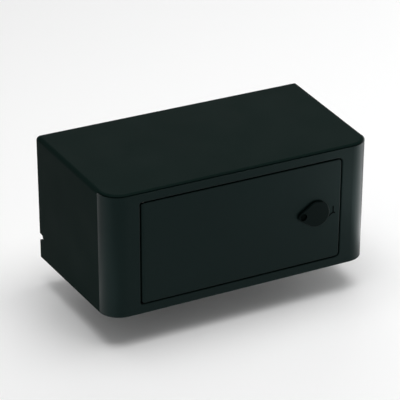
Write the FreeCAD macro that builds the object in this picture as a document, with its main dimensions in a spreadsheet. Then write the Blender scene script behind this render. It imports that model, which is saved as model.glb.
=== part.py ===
import FreeCAD, Part
import math
import os
import re
import Sketcher

# Swing gate opener, arm type: the drive unit that stands on the gate post.
# Millimetres, +Z up, front toward -Y.
# The origin is the middle of the four post bolts, on the back face of the base plate.

SIZES = {
    # moulded cover: its back edge is its largest section, and every wall draws in toward the front
    "cover_width": 330,
    "cover_height": 150,
    "cover_depth": 175,
    "side_draft": 4.7,
    "roof_draft": 2.1,
    "floor_draft": 3.75,
    "cover_wall": 3,
    "front_corner_radius": 24,
    "roof_edge_radius": 4.9,
    "back_standoff": 0.5,
    # how far a cutting tool runs past what it cuts, and how far joined forms reach into each other
    "over": 1,
    "sink": 0.5,
    # seam between roof and fascia
    "seam_gap": 0.8,
    "roof_lip": 1.25,
    "side_joint_gap": 0.2,
    "tongue_length": 9,
    "tongue_gap": 0.3,
    "tongue_root": 10,
    "tongue_inset": 14,
    "tongue_end_gap": 1,
    # notch in the back edge of both side walls
    "notch_width": 8.3,
    "notch_depth": 8.6,
    "notch_rise": 26,
    # doorway and door
    "door_side_margin": 43.5,
    "door_level_margin": 15.5,
    "door_thickness": 3,
    "door_corner": 4,
    "hinge_corner": 2.6,
    "door_gap": 1.4,
    "door_edge_round": 0.8,
    "frame_edge_round": 1.2,
    "return_thickness": 2.5,
    "ledge_width": 5,
    "ledge_thickness": 2.5,
    "ledge_hinge_gap": 3,
    "seal_thickness": 2.4,
    "seal_gap": 0.3,
    "seal_hinge_gap": 3.5,
    "seal_edge_gap": 2,
    "hinge_bead_radius": 4,
    "hinge_pin_radius": 1.5,
    "hinge_pin_depth": 10,
    "hinge_lug_thickness": 4,
    "running_clearance": 0.05,
    "door_rib_depth": 4,
    "door_rib_thickness": 2,
    "rib_hinge_gap": 10,
    "rib_ledge_gap": 2.4,
    # lock in the door
    "lock_inset": 30.2,
    "lock_barrel_radius": 9,
    "lock_plug_radius": 6,
    "lock_nut_radius": 13,
    "lock_nut_thickness": 4,
    "cam_length": 29,
    "cam_width": 11,
    "cam_thickness": 2.4,
    "cam_gap": 0.3,
    "barrel_end_gap": 0.4,
    "plug_tail": 2,
    "plug_sink": 0.2,
    "keyway_width": 2,
    "keyway_depth": 3,
    "keyway_half_height": 4.2,
    # swinging cover over the keyhole
    "flap_radius": 15.3,
    "flap_lobe_radius": 5.6,
    "flap_recess_radius": 4.3,
    "flap_recess_depth": 2.2,
    "flap_reach": 17.6,
    "flap_thickness": 3,
    "flap_gap": 0.3,
    "flap_edge": 1,
    "rivet_radius": 1.8,
    "rivet_head_radius": 3.2,
    "rivet_head_height": 0.8,
    "rivet_end_gap": 0.2,
    # base plate: back plate with a shelf for the gearbox
    "plate_side_gap": 15,
    "plate_thickness": 4,
    "plate_roof_gap": 4.5,
    "shelf_rise": 12,
    "shelf_set_in": 5.05,
    "shelf_notch_width": 22,
    "shelf_notch_depth": 27,
    "post_bolt_radius": 5.5,
    "post_bolt_inset": 25,
    "post_bolt_spread_z": 104,
    "tab_width": 20,
    "tab_inset": 50,
    "tab_height": 20,
    "tab_gap": 0.3,
    "tab_hole_drop": 7,
    # small screws
    "screw_radius": 2.45,
    "screw_head_radius": 4.3,
    "screw_head_height": 3.4,
    "screw_socket_radius": 2.15,
    "screw_socket_depth": 2,
    "screw_length": 15,
    "short_screw_length": 6.5,
    "thread_clearance": 0.05,
    "hole_clearance": 0.3,
    # gear train
    "shaft_offset": 37.5,
    "motor_back_gap": 3.125,
    "gear_module": 2,
    "output_teeth": 45,
    "pinion_teeth": 12,
    "first_pinion_teeth": 15,
    "worm_module": 1.75,
    "wheel_teeth": 45,
    "worm_pitch_radius": 9,
    "worm_length": 36,
    "thread_sink": 0.4,
    "pressure_angle": 25,
    "backlash": 0.16,
    # root below the pitch line and rim beyond the web, both in modules
    "tooth_root": 1.2,
    "gear_rim": 3.5,
    "gear_face": 18,
    "pinion_face": 20,
    "lay_face": 12,
    "wheel_face": 14,
    "axial_play": 0.3,
    "output_web_recess": 4.5,
    "lay_web_recess": 3,
    "web_gap": 3,
    "dog_rim": 2,
    "lay_hub_wall": 8,
    "lay_collar": 3,
    "wheel_collar": 3,
    "wheel_rise": 4,
    "fit_clearance": 0.02,
    # output shaft and its clutch
    "shaft_radius": 14,
    "shaft_upper_radius": 8,
    "shaft_end_radius": 12.5,
    "shaft_reach": 38,
    "shaft_thread_radius": 4.25,
    "shaft_thread_depth": 22,
    "shaft_chamfer": 1,
    "shaft_step_gap": 1,
    "shaft_stub": 3,
    "sleeve_stop_gap": 1,
    "washer_thickness": 1,
    "key_width": 6,
    "key_rise": 2.2,
    "sleeve_key_low": 1,
    "sleeve_key_high": 0.5,
    "arm_key_low": 4,
    "arm_key_high": 6,
    "dog_height": 5,
    "dog_inner_radius": 17,
    "sleeve_radius": 22,
    "sleeve_height": 13,
    "groove_depth": 3.5,
    "groove_width": 5.2,
    "dog_width": 8,
    "dog_slack": 0.6,
    "clutch_travel": 6,
    # lay shaft and bushes
    "lay_shaft_radius": 6,
    "bush_wall": 3,
    "bush_flange": 2.5,
    "bush_flange_rim": 3,
    "bush_end_gap": 0.2,
    "lay_skin": 1,
    "lay_low_gap": 0.5,
    "lay_top_gap": 1,
    # gearbox casting
    "case_floor": 6,
    "case_wall": 4,
    "case_clearance": 2.5,
    "case_corner": 12,
    "case_headroom": 3,
    "lid_thickness": 6,
    "gasket_thickness": 0.8,
    "boss_radius": 6.5,
    "boss_inset": 22,
    "boss_offset": 2,
    "lid_pilot_depth": 16,
    "nose_wall": 5,
    "nose_reach": 8,
    "seal_ring_height": 5,
    "seal_ring_gap": 0.3,
    "foot_length": 16,
    "foot_width": 18,
    "foot_thickness": 8,
    "foot_inset": 4,
    # worm bearings and motor
    "worm_shaft_radius": 4,
    "bearing_radius": 11,
    "bearing_width": 7,
    "bearing_end_gap": 0.2,
    "bearing_race": 1.8,
    "shield_recess": 0.5,
    "bearing_boss_wall": 2.5,
    "bearing_inset": 10,
    "worm_low_gap": 2,
    "worm_end_inset": 0.5,
    "motor_radius": 28,
    "motor_end_gap": 3.5,
    "motor_wall": 2.5,
    "motor_flange_half": 29.5,
    "motor_flange_thickness": 6,
    "motor_screw_offset": 23.5,
    "rear_cap_thickness": 6,
    "armature_radius": 19,
    "brush_room": 20,
    "winding_room": 14,
    "armature_slots": 10,
    "armature_slot_radius": 2.2,
    "armature_slot_sink": 1,
    "magnet_gap": 0.8,
    "commutator_radius": 9,
    "commutator_length": 12,
    "commutator_gap": 3,
    "flange_corner": 4,
    "shaft_way": 2,
    "magnet_split": 10,
    "brush_width": 8,
    "brush_gap": 0.3,
    "brush_end_gap": 0.8,
    "rear_hub_wall": 4,
    "rear_hub_length": 3,
    "rear_cap_web": 1.6,
    # manual release
    "release_radius": 5,
    "release_lever_length": 45,
    "release_lever_width": 11,
    "release_lever_thickness": 5,
    "release_boss": 4,
    "release_boss_wall": 5,
    "release_stub": 1,
    "release_rest_angle": 30,
    "lever_gap": 1,
    "lever_hub_wall": 4,
    "crank_gap": 0.4,
    "crank_thickness": 2.6,
    "crank_rim": 1.5,
    "pin_end_gap": 0.8,
    # limit switching
    "limit_cam_radius": 16,
    "limit_lobe_rise": 3,
    "limit_cam_height": 6,
    "limit_cam_pitch": 7,
    "cam_rise": 2,
    "plunger_radius": 1.2,
    "plunger_travel": 1,
    "plunger_gap": 0.3,
    "plunger_stub": 1,
    "plunger_root": 3,
    "plunger_bore_depth": 4.5,
    "switch_length": 20,
    "switch_depth": 10,
    # control board
    "board_height": 100,
    "board_thickness": 1.6,
    "board_wall_gap": 19,
    "board_case_gap": 13.5,
    "board_floor": 16,
    "tray_case_gap": 1.5,
    "tray_thickness": 3,
    "tray_rim": 2,
    "standoff_height": 6,
    "standoff_radius": 3.5,
    "standoff_inset": 5,
    "standoff_skin": 0.5,
    "board_tip_gap": 1,
    "button_travel": 0.8,
    # transformer
    "core_length": 60,
    "core_height": 50,
    "core_thickness": 24,
    "core_limb": 10,
    "core_front_gap": 71.7,
    "coil_rise": 8,
    "coil_gap": 0.2,
    # cable gland
    "gland_foot_gap": 13.5,
    "gland_setback": 40,
    "gland_radius": 10,
    "gland_bore_radius": 5,
    "dome_lip": 2,
    "dome_low_inset": 3,
    "dome_high_inset": 2,
    "dome_taper_rise": 3,
    "gland_hex_radius": 13,
    # remaining fits and fastenings
    "fascia_clearance": 0.2,
    "lid_seat_gap": 0.3,
    "motor_pilot_skin": 0.5,
    "shaft_slot_half": 28,
    "gland_slot_half": 16,
    "gusset_reach": 7,
    "pillar_inset": 14,
    "pillar_radius": 4.5,
    "pillar_rise": 10,
    "pillar_root": 0.2,
    "pillar_pilot_depth": 14,
    "hinge_lug_half": 5,
    "tongue_thickness": 2.2,
    "bolt_radius": 3.95,
    "bolt_head_radius": 6.5,
    "bolt_head_height": 6,
    "bolt_socket_radius": 2.9625,
    "bolt_socket_depth": 3,
    "bolt_tip_gap": 0.2,
    "frame_foot": 14,
    "tray_foot": 18,
    "tray_foot_inset": 14,
    "tray_foot_left": 20,
    "tray_foot_right": 14,
    "strap_thickness": 1.5,
    "wheel_hub_radius": 11,
    "worm_phase": 90,
    "key_depth": 3.5,
    "pin_radius": 2.45,
    "output_travel": 120,
    "switch_angle": 270,
    "lobe_radius": 4,
    "switch_height": 6.4,
    "switch_screw_radius": 1.2,
    "switch_screw_inset": 3,
    "switch_screw_rim": 1,
    "switch_screw_head_height": 1.6,
    "switch_pilot_skin": 1,
    "switch_tip_gap": 1,
    "board_screw_radius": 1.4,
    "board_screw_head_radius": 2.8,
    "board_screw_head_height": 1.8,
    # parts on the board, from its lower left corner, or from its right edge where it says inset
    "terminals_left": 9,
    "terminals_right": 8,
    "terminals_low": 3,
    "terminal_gap": 1,
    "terminal_height": 12,
    "terminal_depth": 11,
    "relays_left": 10,
    "relays_right": 13,
    "relays_low": 22,
    "relay_gap": 3,
    "relay_height": 17,
    "relay_depth": 15,
    "fuse_inset": 14,
    "fuse_low": 48,
    "fuse_rise": 6,
    "fuse_length": 20,
    "fuse_radius": 2.5,
    "clip_width": 5,
    "clip_depth": 8,
    "clip_height": 8,
    "clip_mouth": 4.4,
    "clip_inset": 1,
    "processor_left": 10,
    "processor_low": 57,
    "processor_size": 14,
    "processor_depth": 2,
    "capacitor_inset": 12,
    "capacitor_low": 66,
    "capacitor_radius": 8,
    "capacitor_depth": 24,
    "receiver_left": 10,
    "receiver_low": 84,
    "receiver_width": 20,
    "receiver_height": 13,
    "receiver_depth": 7,
    "learn_inset": 32,
    "test_inset": 20,
    "housings_low": 76,
    "housing_size": 6,
    "housing_depth": 4,
    "button_radius": 1.7,
    "button_root": 0.8,
    "gland_collar": 5,
    "gland_thread": 9,
    "gland_nut_height": 4.5,
    "gland_dome": 12,
}

# places and sizes that follow from those above, each spelled out once
DERIVED = {
    "door_width": "cover_width - 2 * door_side_margin",
    "door_height": "cover_height - 2 * door_level_margin",
    "half_width": "cover_width / 2",
    "roof_back": "cover_height / 2",
    "roof_front": "cover_height / 2 - roof_draft",
    "floor_back": "-cover_height / 2",
    "floor_front": "-cover_height / 2 + floor_draft",
    "front_half_width": "cover_width / 2 - side_draft",
    "corner_start": "cover_depth - front_corner_radius",
    "half_width_at_corner": "half_width - side_draft * corner_start / cover_depth",
    "fascia_top": "roof_front - roof_lip - seam_gap",
    "fascia_floor": "floor_front",
    "door_back": "-cover_depth + door_thickness",
    "hinge_x": "-door_width / 2 + hinge_bead_radius",
    "hinge_y": "-cover_depth + hinge_bead_radius",
    "opening_half_x": "door_width / 2 + door_gap",
    "opening_half_z": "door_height / 2 + door_gap",
    "seal_back": "door_back + seal_gap + seal_thickness",
    "ledge_back": "seal_back + ledge_thickness",
    "lock_x": "door_width / 2 - lock_inset",
    "flap_x": "lock_x - flap_reach",
    "flap_back": "-cover_depth - flap_gap",
    "flap_recess_floor": "flap_back - flap_thickness + flap_recess_depth",
    "cam_front": "ledge_back + cam_gap",
    "plate_width": "cover_width - 2 * plate_side_gap",
    "plate_top": "roof_back - plate_roof_gap",
    "shelf_top": "floor_back + shelf_rise",
    "shelf_bottom": "shelf_top - plate_thickness",
    # the shelf ends midway between the gearbox and the front, a little nearer to the gearbox
    "shelf_depth": "(cover_depth - case_front) / 2 - shelf_set_in",
    "post_bolt_spread_x": "plate_width - 2 * post_bolt_inset",
    "tab_offset": "plate_width / 2 - tab_inset",
    "tab_front": "-shelf_depth",
    "ear_back": "tab_front - tab_gap",
    "ear_front": "ear_back - cover_wall",
    "tab_hole": "shelf_top + tab_height - tab_hole_drop",
    # gear train, from the output shaft up
    "shaft_x": "cover_width / 4 - shaft_offset",
    "shaft_setback": "plate_thickness + motor_back_gap + motor_flange_half + worm_distance",
    "shaft_y": "-shaft_setback",
    "lay_teeth": "output_teeth + pinion_teeth - first_pinion_teeth",
    "axle_distance": "gear_module * (output_teeth + pinion_teeth) / 2",
    "lay_x": "shaft_x - axle_distance",
    "worm_distance": "worm_module * wheel_teeth / 2 + worm_pitch_radius",
    "worm_y": "shaft_y + worm_distance",
    "worm_tip": "worm_pitch_radius + worm_module",
    "floor_top": "shelf_top + case_floor",
    "gear_low": "floor_top + bush_flange + axial_play",
    "gear_high": "gear_low + gear_face",
    "dog_high": "gear_high + dog_height",
    "sleeve_low": "dog_high + axial_play",
    "sleeve_high": "sleeve_low + sleeve_height",
    "groove_middle": "sleeve_low + sleeve_height / 2",
    "shaft_shoulder": "sleeve_high + clutch_travel + sleeve_stop_gap",
    "washer_high": "shaft_shoulder + washer_thickness",
    "lay_low": "washer_high + axial_play",
    "lay_high": "lay_low + lay_face",
    "wheel_low": "lay_high + wheel_rise",
    "wheel_high": "wheel_low + wheel_face",
    "worm_z": "wheel_low + wheel_face / 2",
    "case_top": "worm_z + bearing_radius + case_headroom",
    "lid_low": "case_top + gasket_thickness",
    "lid_high": "lid_low + lid_thickness",
    "cam_low": "lid_high + cam_rise",
    "shaft_top": "cam_low + limit_cam_pitch + limit_cam_height + shaft_stub",
    "output_tip": "gear_module * (output_teeth / 2 + 1)",
    "lay_tip": "gear_module * (lay_teeth / 2 + 1)",
    "case_inner_left": "lay_x - lay_tip - case_clearance",
    "case_inner_right": "shaft_x + output_tip + case_clearance",
    "case_inner_front": "shaft_y - output_tip - case_clearance",
    "case_inner_back": "worm_y + bearing_radius + case_clearance",
    "case_left": "case_inner_left - case_wall",
    "case_right": "case_inner_right + case_wall",
    "case_front": "case_inner_front - case_wall",
    "case_back": "case_inner_back + case_wall",
    "pad_left": "case_left - motor_flange_thickness",
    "flange_left": "pad_left - motor_flange_thickness",
    "cap_left": "cover_wall + motor_end_gap - half_width",
    "can_left": "cap_left + rear_cap_thickness",
    "nose_low": "shelf_top - nose_reach",
    "nose_radius": "shaft_radius + bush_wall + nose_wall",
    "release_x": "shaft_x - clutch_travel",
    "release_z": "groove_middle + clutch_travel * sin(release_rest_angle)",
    "crank_front": "case_inner_front + crank_gap",
    "crank_back": "crank_front + crank_thickness",
    "lever_back": "case_front - release_boss - lever_gap",
    "lever_front": "lever_back - release_lever_thickness",
    "switch_back": "shaft_y - limit_cam_radius - limit_lobe_rise - plunger_gap - plunger_reach",
    "plunger_reach": "plunger_travel + plunger_stub",
    # the tray stands just behind the gearbox's front feet
    "tray_front": "-case_front - foot_inset - foot_width - tray_case_gap - tray_thickness",
    "tray_face": "-tray_front - tray_thickness",
    "board_back": "tray_face - standoff_height",
    "board_face": "board_back - board_thickness",
    "board_low": "shelf_top + board_floor",
    "board_high": "board_low + board_height",
    "board_left": "board_wall_gap - half_width",
    "board_right": "case_left - board_case_gap",
    "board_width": "board_right - board_left",
    "terminal_width": "(board_width - terminals_left - terminals_right - 2 * terminal_gap) / 3",
    "relay_width": "(board_width - relays_left - relays_right - relay_gap) / 2",
    "foot_end": "case_right + foot_length",
    "core_setback": "shelf_depth - core_front_gap",
    "gland_x": "foot_length + gland_foot_gap + gland_hex_radius - case_left",
    "core_middle": "(foot_end + half_width - side_draft - cover_wall - coil_rise) / 2",
    "plug_front": "-cover_depth + plug_sink",
    "hinge_lug_end": "opening_half_z + return_thickness + hinge_lug_thickness",
    "flap_cos": "((flap_radius - flap_lobe_radius) / flap_reach)",
    "flap_sin": "sqrt(1 - flap_cos * flap_cos)",
    "gusset_front": "-corner_start + tongue_length + tongue_end_gap",
    "pillar_x": "front_half_width - cover_wall - pillar_inset",
    "pillar_low": "floor_front + cover_wall + pillar_rise",
    "pillar_high": "roof_front - cover_wall - pillar_rise",
    "shaft_bush_radius": "shaft_radius + bush_wall",
    "upper_bush_radius": "shaft_upper_radius + bush_wall",
    "lay_bush_radius": "lay_shaft_radius + bush_wall",
    "worm_bearing_left": "case_inner_right - bearing_inset",
    "hub_high": "lid_low - bush_flange - axial_play",
    "armature_left": "can_left + brush_room",
    "armature_right": "flange_left - winding_room",
    "commutator_right": "armature_left - commutator_gap",
    "commutator_left": "commutator_right - commutator_length",
}

doc = FreeCAD.newDocument("swing_gate_opener")
sheet = doc.addObject("Spreadsheet::Sheet", "size")
for row, (word, number) in enumerate(SIZES.items(), start=1):
    sheet.set("A%d" % row, word)
    sheet.set("B%d" % row, str(number))
    sheet.setAlias("B%d" % row, word)
doc.recompute()

NODES = []
# the least volume that a pocket has to take away
LEAST_CUT = 0.01


def spell(text):
    """A formula in plain words, spelled out in the cells of the sheet."""
    def word(match):
        name = match.group(0)
        if name in DERIVED:
            return "(" + spell(DERIVED[name]) + ")"
        return "size." + name if name in SIZES else name
    return re.sub(r"[a-z][a-z_]*", word, str(text))


def num(text):
    """The value of a formula."""
    return float(sheet.evalExpression(spell(text)))


def bind(thing, prop, text):
    thing.setExpression(prop, spell(text))


def node(thing, name):
    """Name a finished piece, under which it is written."""
    thing.Label = name
    NODES.append(thing)
    return thing


# primitives

def box(name, x, y, z):
    """A block between two limits along each axis."""
    block = doc.addObject("Part::Box", name)
    for prop, axis, (low, high) in (("Length", "x", x), ("Width", "y", y), ("Height", "z", z)):
        bind(block, prop, "(%s) - (%s)" % (high, low))
        bind(block, "Placement.Base." + axis, low)
    return block


TURNS = {
    "X": FreeCAD.Rotation(FreeCAD.Vector(0, 1, 0), 90),
    "Y": FreeCAD.Rotation(FreeCAD.Vector(1, 0, 0), -90),
    "Z": FreeCAD.Rotation(),
}


def rod(name, axis, at, radius, span):
    """A round bar along an axis, through a point of the plane across it, between two limits."""
    bar = doc.addObject("Part::Cylinder", name)
    bar.Placement = FreeCAD.Placement(FreeCAD.Vector(), TURNS[axis])
    bind(bar, "Radius", radius)
    bind(bar, "Height", "(%s) - (%s)" % (span[1], span[0]))
    across = [letter for letter in "XYZ" if letter != axis]
    for letter, text in zip(across, at):
        bind(bar, "Placement.Base." + letter.lower(), text)
    bind(bar, "Placement.Base." + axis.lower(), span[0])
    return bar


def fuse(name, pieces):
    joined = doc.addObject("Part::MultiFuse", name)
    joined.Shapes = pieces
    return joined


def cut(name, base, tools):
    tool = tools[0] if len(tools) == 1 else fuse(name + "_tools", tools)
    result = doc.addObject("Part::Cut", name)
    result.Base = base
    result.Tool = tool
    return result


def group(name, pieces):
    """Several separate solids that share a node."""
    compound = doc.addObject("Part::Compound", name)
    compound.Links = pieces
    return compound


def ring(name, axis, at, outer, inner, span):
    return cut(name, rod(name + "_outside", axis, at, outer, span),
               [rod(name + "_bore", axis, at, inner, span)])


def screw(name, axis, at, tip, seat, outward):
    """A cap screw: shank from its tip to its seat, head beyond the seat on the outward side."""
    head_end = "(%s) + (%s) * screw_head_height" % (seat, outward)
    shank_span = (tip, seat) if outward > 0 else (seat, tip)
    head_span = (seat, head_end) if outward > 0 else (head_end, seat)
    shank = rod(name + "_shank", axis, at, "screw_radius", shank_span)
    head = rod(name + "_head", axis, at, "screw_head_radius", head_span)
    socket_floor = "(%s) - (%s) * screw_socket_depth" % (head_end, outward)
    socket_span = (socket_floor, head_end) if outward > 0 else (head_end, socket_floor)
    socket = rod(name + "_socket", axis, at, "screw_socket_radius", socket_span)
    return cut(name, fuse(name + "_blank", [shank, head]), [socket])


# sketched bodies

def new_body(name):
    return doc.addObject("PartDesign::Body", name)


def plane_of(body, role):
    return [feature for feature in body.Origin.OriginFeatures if feature.Role == role][0]


def new_sketch(body, plane, offset):
    """A sketch on one of the body's own planes; the XZ plane looks toward -Y."""
    sketch = body.newObject("Sketcher::SketchObject", body.Name + "_sketch")
    sketch.AttachmentSupport = (plane_of(body, plane), [""])
    sketch.MapMode = "FlatFace"
    bind(sketch, "AttachmentOffset.Base.z", offset)
    return sketch


def add_outline(sketch, corners):
    """A closed outline of straight sides whose corners are held by the sheet."""
    first = sketch.GeometryCount
    points = [FreeCAD.Vector(num(a), num(b), 0) for a, b in corners]
    count = len(points)
    for i in range(count):
        sketch.addGeometry(Part.LineSegment(points[i], points[(i + 1) % count]))
    for i in range(count):
        sketch.addConstraint(Sketcher.Constraint("Coincident", first + i, 2, first + (i + 1) % count, 1))
    for i, corner in enumerate(corners):
        for kind, text in zip(("DistanceX", "DistanceY"), corner):
            index = sketch.addConstraint(Sketcher.Constraint(kind, -1, 1, first + i, 1, num(text)))
            bind(sketch, "Constraints[%d]" % index, text)


def add_circle(sketch, centre, radius):
    point = FreeCAD.Vector(num(centre[0]), num(centre[1]), 0)
    circle = sketch.addGeometry(Part.Circle(point, FreeCAD.Vector(0, 0, 1), num(radius)))
    for kind, text in zip(("DistanceX", "DistanceY"), centre):
        index = sketch.addConstraint(Sketcher.Constraint(kind, -1, 1, circle, 3, num(text)))
        bind(sketch, "Constraints[%d]" % index, text)
    index = sketch.addConstraint(Sketcher.Constraint("Radius", circle, num(radius)))
    bind(sketch, "Constraints[%d]" % index, radius)


def rectangle(x, y):
    return [(x[0], y[0]), (x[1], y[0]), (x[1], y[1]), (x[0], y[1])]


def pad(body, plane, outlines, span, circles=()):
    """Add a prism between two limits along the plane's axis."""
    low, high = span
    start = "-(%s)" % high if plane == "XZ_Plane" else low
    sketch = new_sketch(body, plane, start)
    for outline in outlines:
        add_outline(sketch, outline)
    for centre, radius in circles:
        add_circle(sketch, centre, radius)
    feature = body.newObject("PartDesign::Pad", body.Name + "_pad")
    feature.Profile = sketch
    bind(feature, "Length", "(%s) - (%s)" % (high, low))
    return feature


def pocket(body, plane, outlines, span, circles=()):
    """Take a prism away between two limits along the plane's axis."""
    low, high = span
    start = "-(%s)" % low if plane == "XZ_Plane" else high
    sketch = new_sketch(body, plane, start)
    for outline in outlines:
        add_outline(sketch, outline)
    for centre, radius in circles:
        add_circle(sketch, centre, radius)
    feature = body.newObject("PartDesign::Pocket", body.Name + "_pocket")
    feature.Profile = sketch
    bind(feature, "Length", "(%s) - (%s)" % (high, low))
    return feature


def turned(name, axis, at, start, profile):
    """A turned piece: a half section of (radius, height) corners, turned about an axis through a point."""
    body = new_body(name)
    sketch = new_sketch(body, "XZ_Plane", "0")
    add_outline(sketch, profile)
    feature = body.newObject("PartDesign::Revolution", name + "_turn")
    feature.Profile = sketch
    feature.ReferenceAxis = (sketch, ["V_Axis"])
    feature.Angle = 360
    body.Placement = FreeCAD.Placement(FreeCAD.Vector(), TURNS[axis])
    across = [letter for letter in "XYZ" if letter != axis]
    for letter, text in zip(across, at):
        bind(body, "Placement.Base." + letter.lower(), text)
    bind(body, "Placement.Base." + axis.lower(), start)
    return body


def round_edges(body, radius, test, kind="PartDesign::Fillet"):
    """Round, or chamfer, every edge of the body so far that passes a test on its ends."""
    doc.recompute()
    base = body.Tip
    chosen = []
    for index, edge in enumerate(base.Shape.Edges, start=1):
        ends = [vertex.Point for vertex in edge.Vertexes]
        if len(ends) == 2 and test(*ends):
            chosen.append("Edge%d" % index)
    if not chosen:
        raise RuntimeError("no edge of %s to round" % body.Name)
    feature = body.newObject(kind, body.Name + "_round")
    feature.Base = (base, chosen)
    bind(feature, "Radius" if kind.endswith("Fillet") else "Size", radius)
    return feature


def near(a, b):
    return abs(a - b) < 0.01


def upright(p, q):
    return near(p.x, q.x) and near(p.y, q.y) and not near(p.z, q.z)


def along_y(p, q):
    return near(p.x, q.x) and near(p.z, q.z) and not near(p.y, q.y)


# moulded cover

def draft_cut(body, edge, sign, inset, back):
    """Take off what lies above the sloping roof, or below the sloping floor."""
    wedge_back = "%s_back - (%d) * %s" % (edge, sign, inset)
    wedge_front = "%s_front - (%d) * %s" % (edge, sign, inset)
    far = "(%d) * cover_height" % sign
    wedge = [(back, wedge_back), ("-cover_depth", wedge_front), ("-cover_depth - over", wedge_front),
             ("-cover_depth - over", far), (back, far)]
    pocket(body, "YZ_Plane", [wedge], ("-cover_width", "cover_width"))


def cover_form(name, inset, back):
    """The solid form of the cover, drawn in by an inset all round, up to a back plane."""
    body = new_body(name)
    back_half = "half_width - %s" % inset
    front_half = "front_half_width - %s" % inset
    front = "-cover_depth + %s" % inset
    outline = [("-(%s)" % back_half, back), ("-(%s)" % front_half, front), (front_half, front),
               (back_half, back)]
    pad(body, "XY_Plane", [outline], ("floor_back - over", "roof_back + over"))
    draft_cut(body, "roof", 1, inset, back)
    draft_cut(body, "floor", -1, inset, back)
    corner_x = num(front_half)
    round_edges(body, "front_corner_radius - %s" % inset, lambda p, q: upright(p, q)
                and near(abs(p.x), corner_x))
    reach = num("corner_start") * 0.9

    def side_edge(p, q):
        return p.x * q.x > 0 and abs(p.y - q.y) > reach

    round_edges(body, "roof_edge_radius - %s" % inset, lambda p, q: side_edge(p, q) and p.z > 0)
    return body


def band_outline(gap, grow):
    """The strip of plan that the fascia fills: the front wall and both front corners."""
    half = "half_width_at_corner"
    start = "-corner_start - %s" % gap
    front = "-cover_depth - %s" % grow
    inner_back = "-cover_depth + cover_wall + %s" % grow
    inner_side = "front_half_width - cover_wall - %s" % grow
    inner_start = "%s - cover_wall - %s" % (half, grow)
    return [("-(%s + %s)" % (half, grow), start), ("-(front_half_width + %s)" % grow, front),
            ("front_half_width + %s" % grow, front), ("%s + %s" % (half, grow), start),
            (inner_start, start), (inner_side, inner_back), ("-(%s)" % inner_side, inner_back),
            ("-(%s)" % inner_start, start)]


def round_band(body, grow):
    outer_x = num("front_half_width + %s" % grow)
    inner_x = num("front_half_width - cover_wall - %s" % grow)
    round_edges(body, "front_corner_radius + %s" % grow, lambda p, q: upright(p, q)
                and near(abs(p.x), outer_x))
    round_edges(body, "front_corner_radius - cover_wall - %s" % grow,
                lambda p, q: upright(p, q) and near(abs(p.x), inner_x))


def slot_to_back(name, at, half, front):
    """A slot through the cover's floor, round at its front end and open to the back."""
    height = ("floor_back - over", "shelf_bottom - over")
    return fuse(name,
                [box(name + "_run", ("%s - %s" % (at, half), "%s + %s" % (at, half)), (front, "over"),
                     height), rod(name + "_end", "Z", (at, front), half, height)])


def mirrored(sign, text):
    return "(%d) * (%s)" % (sign, text)


def ordered(a, b):
    """Two limits, lower one first."""
    return (a, b) if num(a) < num(b) else (b, a)


def make_cover_shell():
    outer = cover_form("cover_outside", "0", "-back_standoff")
    inner = cover_form("cover_inside", "cover_wall", "over")
    band = new_body("fascia_seat")
    pad(band, "XY_Plane", [band_outline("0", "fascia_clearance")],
        ("floor_back - over", "fascia_top + seam_gap"))
    round_band(band, "fascia_clearance")
    tools = [inner, band]
    tools.append(slot_to_back("shaft_slot", "shaft_x", "shaft_slot_half", "shaft_y"))
    tools.append(slot_to_back("gland_slot", "-gland_x", "gland_slot_half", "-gland_setback"))
    half = "notch_width / 2"
    middle = "floor_back + notch_rise"
    end = "-notch_depth + notch_width / 2"
    across = ("-cover_width", "cover_width")
    tools.append(box("notch_run", across, (end, "over"),
                     ("%s - %s" % (middle, half), "%s + %s" % (middle, half))))
    tools.append(rod("notch_end", "X", (end, middle), half, across))
    walls = cut("cover_walls", outer, tools)
    added = [walls]
    holes = []
    for sign in (-1, 1):
        side = "left" if sign < 0 else "right"
        for level, rise, root in (("low", "pillar_low", "floor_front + cover_wall / 3"),
                                  ("high", "pillar_high", "roof_front - cover_wall / 2")):
            name = "gusset_%s_%s" % (side, level)
            x = ordered(mirrored(sign, "pillar_x - gusset_reach"),
                        mirrored(sign, "half_width_at_corner - cover_wall / 3"))
            edge = "%s %s gusset_reach" % (rise, "+" if level == "low" else "-")
            added.append(box(name, x, ("gusset_front", "gusset_front + cover_wall"), ordered(root, edge)))
            holes.append(rod(name + "_hole", "Y", (mirrored(sign, "pillar_x"), rise),
                             "screw_radius + hole_clearance",
                             ("gusset_front - over", "gusset_front + cover_wall + over")))
        x = ordered(mirrored(sign, "tab_offset - tab_width / 2"),
                    mirrored(sign, "tab_offset + tab_width / 2"))
        added.append(box("ear_" + side, x, ("ear_front", "ear_back"),
                         ("floor_front + cover_wall / 3", "shelf_top + tab_height")))
        holes.append(rod("ear_hole_" + side, "Y", (mirrored(sign, "tab_offset"), "tab_hole"),
                         "screw_radius + hole_clearance", ("ear_front - over", "ear_back + over")))
    return cut("cover_shell_form", fuse("cover_shell_whole", added), holes)


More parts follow.
